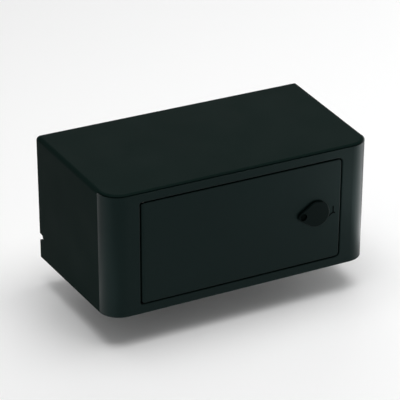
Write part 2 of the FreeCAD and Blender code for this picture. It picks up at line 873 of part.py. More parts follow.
def make_front_fascia():
    body = new_body("front_fascia_form")
    pad(body, "XY_Plane", [band_outline("side_joint_gap", "0")], ("floor_back", "fascia_top"))
    round_band(body, "0")
    draft_cut(body, "floor", -1, "0", "0")
    opening = rectangle(("-opening_half_x", "opening_half_x"), ("-opening_half_z", "opening_half_z"))
    rim_x = "opening_half_x + return_thickness"
    rim_z = "opening_half_z + return_thickness"
    rim = rectangle(("-(%s)" % rim_x, rim_x), ("-(%s)" % rim_z, rim_z))
    pad(body, "XZ_Plane", [rim], ("-cover_depth + cover_wall / 2", "ledge_back"))
    for sign in (-1, 1):
        z = ordered(mirrored(sign, "opening_half_z + sink"), mirrored(sign, "hinge_lug_end"))
        lug = rectangle(("hinge_x - hinge_lug_half", "hinge_x + hinge_lug_half"), z)
        pad(body, "XZ_Plane", [lug], ("-cover_depth + cover_wall / 2", "ledge_back"))
    pocket(body, "XZ_Plane", [opening], ("-cover_depth - over", "ledge_back + over"))
    limit = num("opening_half_x")
    round_edges(body, "door_corner + door_gap", lambda p, q: along_y(p, q) and near(p.x, limit))
    round_edges(body, "hinge_corner", lambda p, q: along_y(p, q) and near(p.x, -limit))
    front = num("-cover_depth")
    edge_x = num("opening_half_x") + 0.1
    round_edges(body, "frame_edge_round", lambda p, q: near(p.y, front) and near(q.y, front)
                and abs(p.x) < edge_x and abs(q.x) < edge_x and abs(p.z) < num("opening_half_z") + 0.1)
    x_start = "hinge_x + hinge_bead_radius + ledge_hinge_gap"
    x_out = "opening_half_x + return_thickness / 2"
    z_out = "opening_half_z + return_thickness / 2"
    x_in = "opening_half_x - ledge_width"
    z_in = "opening_half_z - ledge_width"
    ledge = [(x_start, "-(%s)" % z_out), (x_out, "-(%s)" % z_out), (x_out, z_out), (x_start, z_out),
             (x_start, z_in), (x_in, z_in), (x_in, "-(%s)" % z_in), (x_start, "-(%s)" % z_in)]
    pad(body, "XZ_Plane", [ledge], ("seal_back", "ledge_back"))
    added = [body]
    holes = []
    for sign in (-1, 1):
        side = "left" if sign < 0 else "right"
        holes.append(rod("hinge_hole_%d" % (sign + 1), "Z", ("hinge_x", "hinge_y"),
                         "hinge_pin_radius + fit_clearance",
                         ordered(mirrored(sign, "opening_half_z - over"),
                                 mirrored(sign, "hinge_lug_end + over"))))
        for level, rise in (("low", "pillar_low"), ("high", "pillar_high")):
            name = "pillar_%s_%s" % (side, level)
            at = (mirrored(sign, "pillar_x"), rise)
            added.append(rod(name, "Y", at, "pillar_radius",
                             ("-cover_depth + cover_wall + pillar_root", "gusset_front")))
            holes.append(rod(name + "_pilot", "Y", at, "screw_radius + thread_clearance",
                             ("gusset_front - pillar_pilot_depth", "gusset_front + over")))
        inner = "half_width_at_corner - cover_wall - tongue_gap - tongue_thickness"
        outer = "half_width_at_corner - cover_wall - tongue_gap"
        added.append(box("tongue_" + side, ordered(mirrored(sign, inner), mirrored(sign, outer)),
                         ("-corner_start - tongue_root", "-corner_start + tongue_length"),
                         ("fascia_floor + tongue_inset", "fascia_top - tongue_inset")))
    return cut("front_fascia_whole", fuse("front_fascia_added", added), holes)


def make_door():
    """A flat panel with a round bead along its hinge edge, cut to one rounded outline."""
    panel = box("door_panel", ("hinge_x", "door_width / 2"), ("-cover_depth", "door_back"),
                ("-door_height / 2", "door_height / 2"))
    bead = rod("door_bead", "Z", ("hinge_x", "hinge_y"), "hinge_bead_radius",
               ("-door_height / 2", "door_height / 2"))
    outline = new_body("door_outline")
    pad(outline, "XZ_Plane",
        [rectangle(("-door_width / 2", "door_width / 2"), ("-door_height / 2", "door_height / 2"))],
        ("-cover_depth", "hinge_y + hinge_bead_radius"))
    round_edges(outline, "door_corner", along_y)
    front = num("-cover_depth")
    right = num("hinge_x")
    round_edges(outline, "door_edge_round",
                lambda p, q: near(p.y, front) and near(q.y, front) and max(p.x, q.x) > right)
    trimmed = doc.addObject("Part::MultiCommon", "door_trimmed")
    trimmed.Shapes = [fuse("door_blank", [panel, bead]), outline]
    rib = new_body("door_rib")
    x_low, x_high = "hinge_x + rib_hinge_gap", "door_width / 2 - ledge_width - rib_ledge_gap"
    z_high = "door_height / 2 - ledge_width - rib_ledge_gap"
    t = "door_rib_thickness"
    pad(rib, "XZ_Plane", [rectangle((x_low, x_high), ("-(%s)" % z_high, z_high)),
                          rectangle(("%s + %s" % (x_low, t), "%s - %s" % (x_high, t)),
                                    ("-(%s - %s)" % (z_high, t), "%s - %s" % (z_high, t)))],
        ("door_back - sink", "door_back + door_rib_depth"))
    holes = [rod("door_lock_hole", "Y", ("lock_x", "0"), "lock_barrel_radius + running_clearance",
                 ("-cover_depth - over", "door_back + over")),
             rod("door_rivet_hole", "Y", ("flap_x", "0"), "rivet_radius + fit_clearance",
                 ("-cover_depth - over", "door_back + over"))]
    for sign in (-1, 1):
        holes.append(rod("bead_hole_%d" % (sign + 1), "Z", ("hinge_x", "hinge_y"),
                         "hinge_pin_radius + running_clearance",
                         ordered(mirrored(sign, "door_height / 2 - hinge_pin_depth - over"),
                                 mirrored(sign, "door_height / 2 + over"))))
    return cut("access_door_form", fuse("door_whole", [trimmed, rib]), holes)


def make_hinge_pins():
    pins = []
    for sign in (-1, 1):
        span = ordered(mirrored(sign, "door_height / 2 - hinge_pin_depth"), mirrored(sign, "hinge_lug_end"))
        pins.append(rod("hinge_pin_%d" % (sign + 1), "Z", ("hinge_x", "hinge_y"), "hinge_pin_radius", span))
    return group("hinge_pins_pair", pins)


def make_door_seal():
    body = new_body("door_seal_strip")
    x_start = "hinge_x + hinge_bead_radius + seal_hinge_gap"
    x_out, z_out = "opening_half_x - seal_edge_gap", "opening_half_z - seal_edge_gap"
    x_in, z_in = "opening_half_x - ledge_width", "opening_half_z - ledge_width"
    strip = [(x_start, "-(%s)" % z_out), (x_out, "-(%s)" % z_out), (x_out, z_out), (x_start, z_out),
             (x_start, z_in), (x_in, z_in), (x_in, "-(%s)" % z_in), (x_start, "-(%s)" % z_in)]
    pad(body, "XZ_Plane", [strip], ("door_back + seal_gap", "seal_back"))
    return body


def make_lock():
    at = ("lock_x", "0")
    barrel = ring("lock_barrel_tube", "Y", at, "lock_barrel_radius", "lock_plug_radius + running_clearance",
                  ("-cover_depth", "cam_front - barrel_end_gap"))
    nut = new_body("lock_nut_body")
    corners = [("lock_x + lock_nut_radius * cos(%d)" % angle, "lock_nut_radius * sin(%d)" % angle)
               for angle in range(0, 360, 60)]
    pad(nut, "XZ_Plane", [corners], ("door_back", "door_back + lock_nut_thickness"))
    pocket(nut, "XZ_Plane", [], ("door_back - over", "door_back + lock_nut_thickness + over"),
           [(at, "lock_barrel_radius + fit_clearance")])
    plug = cut("lock_plug_bar",
               rod("lock_plug_round", "Y", at, "lock_plug_radius",
                   ("plug_front", "cam_front + cam_thickness + plug_tail")),
               [box("keyway", ("lock_x - keyway_width / 2", "lock_x + keyway_width / 2"),
                    ("plug_front - over", "plug_front + keyway_depth"),
                    ("-keyway_half_height", "keyway_half_height"))])
    y = ("cam_front", "cam_front + cam_thickness")
    arm = [rod("cam_hub", "Y", at, "lock_barrel_radius", y),
           box("cam_arm", ("lock_x - cam_width / 2", "lock_x + cam_width / 2"), y, ("-cam_length", "0"))]
    cam = cut("lock_cam_form", fuse("cam_blank", arm),
              [rod("cam_hole", "Y", at, "lock_plug_radius + fit_clearance",
                   ("cam_front - over", "cam_front + cam_thickness + over"))])
    node(barrel, "lock_barrel")
    node(nut, "lock_nut")
    node(plug, "lock_plug")
    node(cam, "lock_cam")


def make_lock_cover():
    """The teardrop flap: a disc and a smaller pivot lobe joined by their tangents."""
    body = new_body("lock_cover_form")
    span = ("flap_back - flap_thickness", "flap_back")
    pad(body, "XZ_Plane", [], span, [(("lock_x", "0"), "flap_radius")])
    pad(body, "XZ_Plane", [], span, [(("flap_x", "0"), "flap_lobe_radius")])
    web = [("flap_x - flap_lobe_radius * flap_cos", "-flap_lobe_radius * flap_sin"),
           ("lock_x - flap_radius * flap_cos", "-flap_radius * flap_sin"),
           ("lock_x - flap_radius * flap_cos", "flap_radius * flap_sin"),
           ("flap_x - flap_lobe_radius * flap_cos", "flap_lobe_radius * flap_sin")]
    pad(body, "XZ_Plane", [web], span)
    front = num("flap_back - flap_thickness")
    round_edges(body, "flap_edge", lambda p, q: near(p.y, front) and near(q.y, front))
    pocket(body, "XZ_Plane", [], ("flap_back - flap_thickness - over", "flap_back + over"),
           [(("flap_x", "0"), "rivet_radius + running_clearance")])
    pocket(body, "XZ_Plane", [], ("flap_back - flap_thickness - over", "flap_recess_floor"),
           [(("flap_x", "0"), "flap_recess_radius")])
    return body


def make_rivet():
    at = ("flap_x", "0")
    seat = "flap_recess_floor - running_clearance"
    parts = [rod("rivet_shank", "Y", at, "rivet_radius", (seat, "door_back + rivet_end_gap")),
             rod("rivet_head", "Y", at, "rivet_head_radius", ("%s - rivet_head_height" % seat, seat)),
             rod("rivet_tail", "Y", at, "rivet_head_radius",
                 ("door_back", "door_back + rivet_head_height"))]
    return fuse("lock_cover_rivet_form", parts)


def make_base_plate():
    body = new_body("base_plate_form")
    half = "plate_width / 2"
    profile = [("0", "plate_top"), ("0", "shelf_bottom"), ("-shelf_depth", "shelf_bottom"),
               ("-shelf_depth", "shelf_top"), ("-plate_thickness", "shelf_top"),
               ("-plate_thickness", "plate_top")]
    pad(body, "YZ_Plane", [profile], ("-(%s)" % half, half))
    tab_top = "shelf_top + tab_height"
    for sign in (-1, 1):
        x = ordered(mirrored(sign, "tab_offset - tab_width / 2"),
                    mirrored(sign, "tab_offset + tab_width / 2"))
        pad(body, "XZ_Plane", [rectangle(x, ("shelf_top - sink", tab_top))],
            ("tab_front", "tab_front + plate_thickness"))
    for sign in (-1, 1):
        x = ordered(mirrored(sign, "%s - shelf_notch_width" % half), mirrored(sign, "%s + over" % half))
        notch = rectangle(x, ("-shelf_depth - over", "-shelf_depth + shelf_notch_depth"))
        pocket(body, "XY_Plane", [notch], ("shelf_bottom - over", "shelf_top + over"))
    inner_y = num("-plate_thickness")
    inner_z = num("shelf_top")
    round_edges(body, "plate_thickness", lambda p, q: near(p.y, inner_y) and near(q.y, inner_y)
                and near(p.z, inner_z) and near(q.z, inner_z))
    bolts = [((mirrored(a, "post_bolt_spread_x / 2"), mirrored(b, "post_bolt_spread_z / 2")),
              "post_bolt_radius") for a in (-1, 1) for b in (-1, 1)]
    pocket(body, "XZ_Plane", [], ("-plate_thickness - over", "over"), bolts)
    tab_holes = [((mirrored(sign, "tab_offset"), "tab_hole"), "screw_radius + thread_clearance")
                 for sign in (-1, 1)]
    pocket(body, "XZ_Plane", [], ("tab_front - over", "tab_front + plate_thickness + over"), tab_holes)
    shelf_holes = [(("shaft_x", "shaft_y"), "nose_radius + hole_clearance"),
                   (("-gland_x", "-gland_setback"), "gland_radius + running_clearance")]
    shelf_holes += [(at, "bolt_radius + thread_clearance") for at in foot_places()]
    shelf_holes += [(at, "screw_radius + thread_clearance")
                    for at in frame_foot_places() + tray_foot_places()]
    pocket(body, "XY_Plane", [], ("shelf_bottom - over", "shelf_top + over"), shelf_holes)
    return body


def foot_places():
    left, right = "case_left - foot_length / 2", "case_right + foot_length / 2"
    front, back = "case_front + foot_inset + foot_width / 2", "case_back - foot_inset - foot_width / 2"
    return [(left, front), (left, back), (right, front), (right, back)]


def frame_foot_places():
    reach = "core_length / 2 + frame_foot / 2"
    return [("core_middle", "-core_setback - (%s)" % reach),
            ("core_middle", "-core_setback + (%s)" % reach)]


def tray_foot_places():
    y = "-tray_front + tray_foot / 2"
    return [("board_left + tray_foot_left", y), ("board_right - tray_foot_right", y)]


def boss_places():
    left, right = "case_left + boss_inset", "case_right - boss_inset"
    front, back = "case_front - boss_offset", "case_back + boss_offset"
    return [(left, front), (right, front), (left, back), (right, back),
            ("case_left - boss_offset", "shaft_y"), ("case_right + boss_offset", "shaft_y")]


def case_outline(gap="0"):
    return rectangle(("case_left + %s" % gap, "case_right"), ("case_front", "case_back"))


def make_gearbox_case():
    body = new_body("gearbox_case_form")
    pad(body, "XY_Plane", [case_outline()], ("shelf_top", "case_top"))
    round_edges(body, "case_corner", upright)
    inner = rectangle(("case_inner_left", "case_inner_right"), ("case_inner_front", "case_inner_back"))
    hollow = new_body("case_hollow")
    pad(hollow, "XY_Plane", [inner], ("floor_top", "case_top + over"))
    round_edges(hollow, "case_corner - case_wall", upright)
    walls = cut("case_walls", body, [hollow])
    added = [walls,
             rod("case_nose", "Z", ("shaft_x", "shaft_y"), "nose_radius", ("nose_low", "shelf_top + sink"))]
    for i, (x, y) in enumerate(foot_places()):
        reach = "(foot_length / 2 + case_wall / 2)"
        added.append(box("case_foot_%d" % i, ("%s - %s" % (x, reach), "%s + %s" % (x, reach)),
                         ("%s - foot_width / 2" % y, "%s + foot_width / 2" % y),
                         ("shelf_top", "shelf_top + foot_thickness")))
    for i, (x, y) in enumerate(boss_places()):
        added.append(rod("case_boss_%d" % i, "Z", (x, y), "boss_radius",
                         ("shelf_top + foot_thickness", "case_top")))
    half = "motor_flange_half"
    added.append(box("motor_seat", ("pad_left", "case_left + case_wall / 2"),
                     ("worm_y - %s" % half, "worm_y + %s" % half),
                     ("worm_z - %s" % half, "worm_z + %s" % half)))
    added.append(rod("bearing_boss", "X", ("worm_y", "worm_z"), "bearing_radius + bearing_boss_wall",
                     ("worm_bearing_left", "case_inner_right + sink")))
    added.append(rod("release_boss_form", "Y", ("release_x", "release_z"),
                     "release_radius + release_boss_wall",
                     ("case_front - release_boss", "case_front + sink")))
    clear = box("lid_seat", ("case_left", "case_right"), ("case_front", "worm_y + %s + over" % half),
                ("case_top", "worm_z + %s + over" % half))
    holes = [clear,
             rod("nose_bore", "Z", ("shaft_x", "shaft_y"), "shaft_bush_radius + fit_clearance",
                 ("nose_low - over", "floor_top + over")),
             rod("lay_seat", "Z", ("lay_x", "shaft_y"), "lay_bush_radius + fit_clearance",
                 ("shelf_top + lay_skin", "floor_top + over")),
             rod("left_bearing_bore", "X", ("worm_y", "worm_z"), "bearing_radius + fit_clearance",
                 ("pad_left - over", "case_inner_left + over")),
             rod("right_bearing_bore", "X", ("worm_y", "worm_z"), "bearing_radius + fit_clearance",
                 ("worm_bearing_left - over", "worm_bearing_left + bearing_width")),
             rod("release_bore", "Y", ("release_x", "release_z"), "release_radius + running_clearance",
                 ("case_front - release_boss - over", "case_inner_front + over"))]
    for i, at in enumerate(foot_places()):
        holes.append(rod("foot_hole_%d" % i, "Z", at, "bolt_radius + hole_clearance",
                         ("shelf_top - over", "shelf_top + foot_thickness + over")))
    for i, at in enumerate(boss_places()):
        holes.append(rod("boss_hole_%d" % i, "Z", at, "screw_radius + thread_clearance",
                         ("case_top - lid_pilot_depth", "case_top + over")))
    for i, at in enumerate(motor_screw_places()):
        holes.append(rod("motor_hole_%d" % i, "X", at, "screw_radius + thread_clearance",
                         ("pad_left - over", "case_inner_left - motor_pilot_skin")))
    return cut("gearbox_case_whole", fuse("gearbox_case_added", added), holes)


def motor_screw_places():
    return [("worm_y + (%d) * motor_screw_offset" % a, "worm_z + (%d) * motor_screw_offset" % b)
            for a in (-1, 1) for b in (-1, 1)]


def lid_plate(name, span, hollow):
    """The outline that lid and gasket share: the case's own, with its screw bosses."""
    body = new_body(name)
    pad(body, "XY_Plane", [case_outline("lid_seat_gap")], span)
    round_edges(body, "case_corner", upright)
    bosses = [rod("%s_boss_%d" % (name, i), "Z", at, "boss_radius", span) for i,
              at in enumerate(boss_places())]
    holes = [rod("%s_hole_%d" % (name, i), "Z", at, "screw_radius + hole_clearance", span) for i,
             at in enumerate(boss_places())]
    if hollow:
        inner = new_body(name + "_hollow")
        pad(inner, "XY_Plane",
            [rectangle(("case_inner_left", "case_inner_right"), ("case_inner_front", "case_inner_back"))],
            span)
        round_edges(inner, "case_corner - case_wall", upright)
        holes.append(inner)
    seat = box(name + "_clear", ("pad_left - over", "case_left + lid_seat_gap"),
               ("worm_y - motor_flange_half - lid_seat_gap", "worm_y + motor_flange_half + lid_seat_gap"),
               span)
    return fuse(name + "_plate", [body] + bosses), holes + [seat]


def make_lid():
    plate, holes = lid_plate("lid", ("lid_low", "lid_high"), False)
    low = "cam_low + limit_cam_height / 2 - switch_height / 2"
    rest = box("switch_rest", ("shaft_x - switch_length / 2", "shaft_x + switch_length / 2"),
               ("switch_back - switch_depth", "switch_back"), ("lid_high - sink", low))
    holes.append(rod("lid_shaft_bore", "Z", ("shaft_x", "shaft_y"), "upper_bush_radius + fit_clearance",
                     ("lid_low - over", "lid_high + over")))
    holes.append(rod("lid_lay_bore", "Z", ("lay_x", "shaft_y"), "lay_bush_radius + fit_clearance",
                     ("lid_low - over", "lid_high - lay_skin")))
    for i, at in enumerate(switch_screw_places()):
        holes.append(rod("switch_pilot_%d" % i, "Z", at, "switch_screw_radius + thread_clearance",
                         ("lid_low + switch_pilot_skin", "%s + over" % low)))
    return cut("gearbox_lid_form", fuse("gearbox_lid_added", [plate, rest]), holes)


def make_gasket():
    plate, holes = lid_plate("gasket", ("case_top", "lid_low"), True)
    return cut("lid_gasket_form", plate, holes)


def bush(name, at, bore, outer, body_span, flange_span):
    """A flanged bronze bush, turned: the flange lies inside the gearbox."""
    low, high = body_span
    flange_low, flange_high = flange_span
    rim = "%s + bush_flange_rim" % outer
    start = low if num(low) < num(flange_low) else flange_low
    shift = "(%s)" % start
    if num(low) < num(flange_low):
        profile = [(bore, low), (outer, low), (outer, high), (rim, high), (rim, flange_high),
                   (bore, flange_high)]
    else:
        profile = [(bore, flange_low), (rim, flange_low), (rim, flange_high), (outer, flange_high),
                   (outer, high), (bore, high)]
    return turned(name, "Z", at, start, [(r, "(%s) - %s" % (z, shift)) for r, z in profile])


def make_bushes():
    shaft = ("shaft_x", "shaft_y")
    lay = ("lay_x", "shaft_y")
    flange_low = ("floor_top", "floor_top + bush_flange")
    flange_high = ("lid_low - bush_flange", "lid_low")
    lower = bush("lower_bush", shaft, "shaft_radius + running_clearance", "shaft_bush_radius",
                 ("nose_low + seal_ring_height", "floor_top"), flange_low)
    upper = bush("upper_bush", shaft, "shaft_upper_radius + running_clearance", "upper_bush_radius",
                 ("lid_low", "lid_high"), flange_high)
    lay_low = bush("lay_low_bush", lay, "lay_shaft_radius + running_clearance", "lay_bush_radius",
                   ("shelf_top + lay_skin + bush_end_gap", "floor_top"), flange_low)
    lay_top = bush("lay_top_bush", lay, "lay_shaft_radius + running_clearance", "lay_bush_radius",
                   ("lid_low", "lid_high - lay_skin - bush_end_gap"), flange_high)
    return group("shaft_bushes_set", [lower, upper, lay_low, lay_top])


# gear train

def gear_outline(module, teeth, middle, backlash):
    """An involute gear's outline; the angle is that of a tooth's middle."""
    pressure = math.radians(num("pressure_angle"))
    pitch = module * teeth / 2
    base = pitch * math.cos(pressure)
    root = pitch - num("tooth_root") * module
    tip = pitch + module
    half_at_pitch = (math.pi * module / 2 - backlash) / 2 / pitch
    flank = [root]
    if base > root + 0.1:
        flank.append(base)
    flank += [pitch, tip]

    def half_angle(radius):
        turn = math.acos(min(1, base / max(radius, base)))
        return half_at_pitch + math.tan(pressure) - pressure - (math.tan(turn) - turn)

    points = []
    for tooth in range(teeth):
        centre = middle + 2 * math.pi * tooth / teeth
        for radius in flank:
            angle = centre - half_angle(radius)
            points.append(FreeCAD.Vector(radius * math.cos(angle), radius * math.sin(angle), 0))
        for radius in reversed(flank):
            angle = centre + half_angle(radius)
            points.append(FreeCAD.Vector(radius * math.cos(angle), radius * math.sin(angle), 0))
    return points


def gear_wire(points, lift=0, turn=0):
    wire = Part.makePolygon(points + [points[0]])
    wire.rotate(FreeCAD.Vector(), FreeCAD.Vector(0, 0, 1), turn)
    wire.translate(FreeCAD.Vector(0, 0, lift))
    return wire


def spur(points, low, high):
    return Part.Face(gear_wire(points, low)).extrude(FreeCAD.Vector(0, 0, high - low))


def bore_tool(radius, low, high):
    """A round tool along Z that runs past both limits."""
    over = num("over")
    return Part.makeCylinder(radius, high - low + 2 * over, FreeCAD.Vector(0, 0, low - over))


def tube(outer, inner, low, high):
    solid = Part.makeCylinder(outer, high - low, FreeCAD.Vector(0, 0, low))
    return solid.cut(bore_tool(inner, low, high))


def set_shape(name, shape, at):
    """A piece whose form is worked out above, standing at its own axis."""
    feature = doc.addObject("Part::Feature", name)
    feature.Shape = shape
    feature.Placement = FreeCAD.Placement(FreeCAD.Vector(num(at[0]), num(at[1]), num(at[2])),
                                          FreeCAD.Rotation())
    return feature


def make_output_gear():
    """The last and largest gear, loose on its shaft, with four slots in its hub for the clutch."""
    teeth = round(num("output_teeth"))
    module = num("gear_module")
    points = gear_outline(module, teeth, math.pi * (1 + 1 / teeth), num("backlash"))
    solid = spur(points, num("gear_low"), num("gear_high"))
    rim = num("sleeve_radius + dog_rim")
    over = num("over")
    low, high = num("gear_high"), num("dog_high")
    solid = solid.fuse(Part.makeCylinder(rim, high - low + over, FreeCAD.Vector(0, 0, low - over)))
    web = tube(num("output_tip - gear_rim * gear_module"), rim + num("web_gap"),
               low - num("output_web_recess"), low + over)
    solid = solid.cut(web)
    solid = solid.cut(bore_tool(num("shaft_radius + running_clearance"), num("gear_low"), high))
    solid = solid.cut(Part.makeCylinder(num("dog_inner_radius"), high - low + over,
                                        FreeCAD.Vector(0, 0, low)))
    width = num("dog_width + dog_slack")
    for quarter in range(4):
        slot = Part.makeBox(rim + over, width, high - low + over, FreeCAD.Vector(0, -width / 2, low))
        slot.rotate(FreeCAD.Vector(), FreeCAD.Vector(0, 0, 1), 45 + 90 * quarter)
        solid = solid.cut(slot)
    return set_shape("output_gear_form", solid.removeSplitter(), ("shaft_x", "shaft_y", "0"))


def make_clutch_sleeve():
    """Four lugs below, a groove for the shifting pin, and a keyway in the bore."""
    low, high = num("sleeve_low"), num("sleeve_high")
    bore = num("shaft_radius + running_clearance")
    outer = num("sleeve_radius")
    over = num("over")
    solid = tube(outer, bore, low, high)
    half = num("groove_width / 2")
    middle = num("groove_middle")
    solid = solid.cut(tube(outer + over, num("sleeve_radius - groove_depth"), middle - half, middle + half))
    lug_low = num("gear_high + 2 * axial_play")
    lugs = tube(outer, num("dog_inner_radius + axial_play"), lug_low, low + over)
    width = num("dog_width")
    reach = outer + over
    bars = Part.makeBox(2 * reach, width, low - lug_low + 3 * over,
                        FreeCAD.Vector(-reach, -width / 2, lug_low - over))
    other = bars.copy()
    bars.rotate(FreeCAD.Vector(), FreeCAD.Vector(0, 0, 1), 45)
    other.rotate(FreeCAD.Vector(), FreeCAD.Vector(0, 0, 1), -45)
    solid = solid.fuse(lugs.common(bars.fuse(other)))
    wide = num("key_width + 2 * running_clearance")
    keyway = Part.makeBox(num("shaft_radius + key_rise + running_clearance"), wide,
                          high - lug_low + 2 * over, FreeCAD.Vector(0, -wide / 2, lug_low - over))
    return set_shape("clutch_sleeve_form", solid.cut(keyway).removeSplitter(), ("shaft_x", "shaft_y", "0"))


def make_lay_shaft():
    """The second shaft, with its small pinion cut in one piece with it."""
    teeth = round(num("pinion_teeth"))
    low = num("gear_low")
    high = low + num("pinion_face")
    solid = spur(gear_outline(num("gear_module"), teeth, 0, num("backlash")), low, high)
    radius = num("lay_shaft_radius")
    bottom, top = num("shelf_top + lay_skin + lay_low_gap"), num("lid_high - lay_skin - lay_top_gap")
    solid = solid.fuse(Part.makeCylinder(radius, top - bottom, FreeCAD.Vector(0, 0, bottom)))
    solid = solid.fuse(Part.makeCylinder(radius + num("lay_collar"), num("lay_low") - high,
                                         FreeCAD.Vector(0, 0, high)))
    return set_shape("lay_shaft_form", solid.removeSplitter(), ("lay_x", "shaft_y", "0"))


def make_lay_gear():
    teeth = round(num("lay_teeth"))
    low, high = num("lay_low"), num("lay_high")
    solid = spur(gear_outline(num("gear_module"), teeth, 0, num("backlash")), low, high)
    rim = num("lay_tip - gear_rim * gear_module")
    hub = num("lay_shaft_radius + lay_hub_wall")
    depth = num("lay_web_recess")
    over = num("over")
    solid = solid.cut(tube(rim, hub, high - depth, high + over)).cut(tube(rim, hub, low - over,
                                                                          low + depth))
    solid = solid.cut(bore_tool(num("lay_shaft_radius + fit_clearance"), low, high))
    return set_shape("lay_gear_form", solid, ("lay_x", "shaft_y", "0"))


def make_compound_pinion():
    """The first pinion and the long hub that carries the worm wheel, loose on the shaft's upper end."""
    teeth = round(num("first_pinion_teeth"))
    low, high = num("lay_low"), num("lay_high")
    middle = math.pi * (1 + 1 / teeth)
    solid = spur(gear_outline(num("gear_module"), teeth, middle, num("backlash")), low, high + num("sink"))
    hub_top = num("hub_high")
    hub = num("wheel_hub_radius")
    solid = solid.fuse(Part.makeCylinder(hub + num("wheel_collar"), num("wheel_low") - high,
                                         FreeCAD.Vector(0, 0, high)))
    solid = solid.fuse(Part.makeCylinder(hub, hub_top - high, FreeCAD.Vector(0, 0, high)))
    solid = solid.cut(bore_tool(num("shaft_upper_radius + running_clearance"), low, hub_top))
    return set_shape("compound_pinion_form", solid.removeSplitter(), ("shaft_x", "shaft_y", "0"))


def make_worm_wheel():
    """Bronze wheel: its teeth lean by the worm's lead angle."""
    teeth = round(num("wheel_teeth"))
    low, high = num("wheel_low"), num("wheel_high")
    module = num("worm_module")
    points = gear_outline(module, teeth, math.pi / 2, num("backlash"))
    lean = math.degrees((high - low) * module / 2 / num("worm_pitch_radius") / (module * teeth / 2))
    lower = gear_wire(points, low, -lean / 2)
    upper = gear_wire(points, high, lean / 2)
    solid = Part.makeLoft([lower, upper], True, True)
    solid = solid.cut(bore_tool(num("wheel_hub_radius + fit_clearance"), low, high))
    return set_shape("worm_wheel_form", solid, ("shaft_x", "shaft_y", "0"))


def worm_thread():
    """One right-hand thread of straight-sided section, along Z, with its crest half a lead off the middle."""
    module = num("worm_module")
    pressure = math.radians(num("pressure_angle"))
    pitch, tip = num("worm_pitch_radius"), num("worm_tip")
    root = pitch - num("tooth_root") * module
    lead = math.pi * module
    half = (lead / 2 - num("backlash")) / 2
    sunk = root - num("thread_sink")
    low_half = half + (pitch - sunk) * math.tan(pressure)
    high_half = half - (tip - pitch) * math.tan(pressure)
    length = num("worm_length")
    turns = math.ceil(length / lead) + 1
    start = -lead * turns / 2
    section = Part.makePolygon([FreeCAD.Vector(sunk, 0, start - low_half),
                                FreeCAD.Vector(tip, 0, start - high_half),
                                FreeCAD.Vector(tip, 0, start + high_half),
                                FreeCAD.Vector(sunk, 0, start + low_half),
                                FreeCAD.Vector(sunk, 0, start - low_half)])
    helix = Part.makeHelix(lead, lead * turns, pitch)
    helix.translate(FreeCAD.Vector(0, 0, start))
    thread = Part.Wire(helix.Edges).makePipeShell([section], True, True)
    core = Part.makeCylinder(root, length, FreeCAD.Vector(0, 0, -length / 2))
    limit = Part.makeCylinder(tip + num("over"), length, FreeCAD.Vector(0, 0, -length / 2))
    return core.fuse(thread.common(limit))


def make_worm_shaft():
    worm = worm_thread()
    worm.rotate(FreeCAD.Vector(), FreeCAD.Vector(0, 0, 1), num("worm_phase"))
    worm.rotate(FreeCAD.Vector(), FreeCAD.Vector(0, 1, 0), 90)
    radius = num("worm_shaft_radius")
    left = num("cap_left + worm_low_gap - shaft_x")
    right = num("worm_bearing_left + bearing_width - worm_end_inset - shaft_x")
    bar = Part.makeCylinder(radius, right - left, FreeCAD.Vector(left, 0, 0), FreeCAD.Vector(1, 0, 0))
    solid = worm.fuse(bar)
    return set_shape("worm_shaft_form", solid, ("shaft_x", "worm_y", "worm_z"))


def make_output_shaft():
    at = ("shaft_x", "shaft_y")
    end = "nose_low - shaft_reach"
    profile = [("shaft_thread_radius", "0"), ("shaft_end_radius - shaft_chamfer", "0"),
               ("shaft_end_radius", "shaft_chamfer"), ("shaft_end_radius", "shaft_reach - shaft_step_gap"),
               ("shaft_radius", "shaft_reach - shaft_step_gap"),
               ("shaft_radius", "shaft_shoulder - (%s)" % end),
               ("shaft_upper_radius", "shaft_shoulder - (%s)" % end),
               ("shaft_upper_radius", "shaft_top - (%s)" % end), ("0", "shaft_top - (%s)" % end),
               ("0", "shaft_thread_depth"), ("shaft_thread_radius", "shaft_thread_depth")]
    bar = turned("output_shaft_bar", "Z", at, end, profile)
    half = "key_width / 2"
    y = ("shaft_y - %s" % half, "shaft_y + %s" % half)
    ways = [box("sleeve_keyway", ("shaft_x + shaft_radius - key_depth", "shaft_x + shaft_radius + over"), y,
                ("sleeve_low + sleeve_key_low", "shaft_shoulder - sleeve_key_high")),
            box("arm_keyway",
                ("shaft_x + shaft_end_radius - key_depth", "shaft_x + shaft_end_radius + over"), y,
                ("%s + arm_key_low" % end, "%s + shaft_reach - arm_key_high" % end))]
    node(cut("output_shaft_form", bar, ways), "output_shaft")
    clear = "fit_clearance"
    node(box("sleeve_key_form",
             ("shaft_x + shaft_radius - key_depth + %s" % clear, "shaft_x + shaft_radius + key_rise"),
             ("shaft_y - %s + %s" % (half, clear), "shaft_y + %s - %s" % (half, clear)),
             ("sleeve_low + sleeve_key_low + %s" % clear, "shaft_shoulder - sleeve_key_high - %s" % clear)),
         "sleeve_key")
    node(ring("thrust_washer_form", "Z", at, "shaft_radius", "shaft_upper_radius + fit_clearance",
              ("shaft_shoulder", "washer_high")), "thrust_washer")


def make_shaft_seal():
    return ring("shaft_seal_form", "Z", ("shaft_x", "shaft_y"), "shaft_bush_radius",
                "shaft_radius + running_clearance",
                ("nose_low", "nose_low + seal_ring_height - seal_ring_gap"))


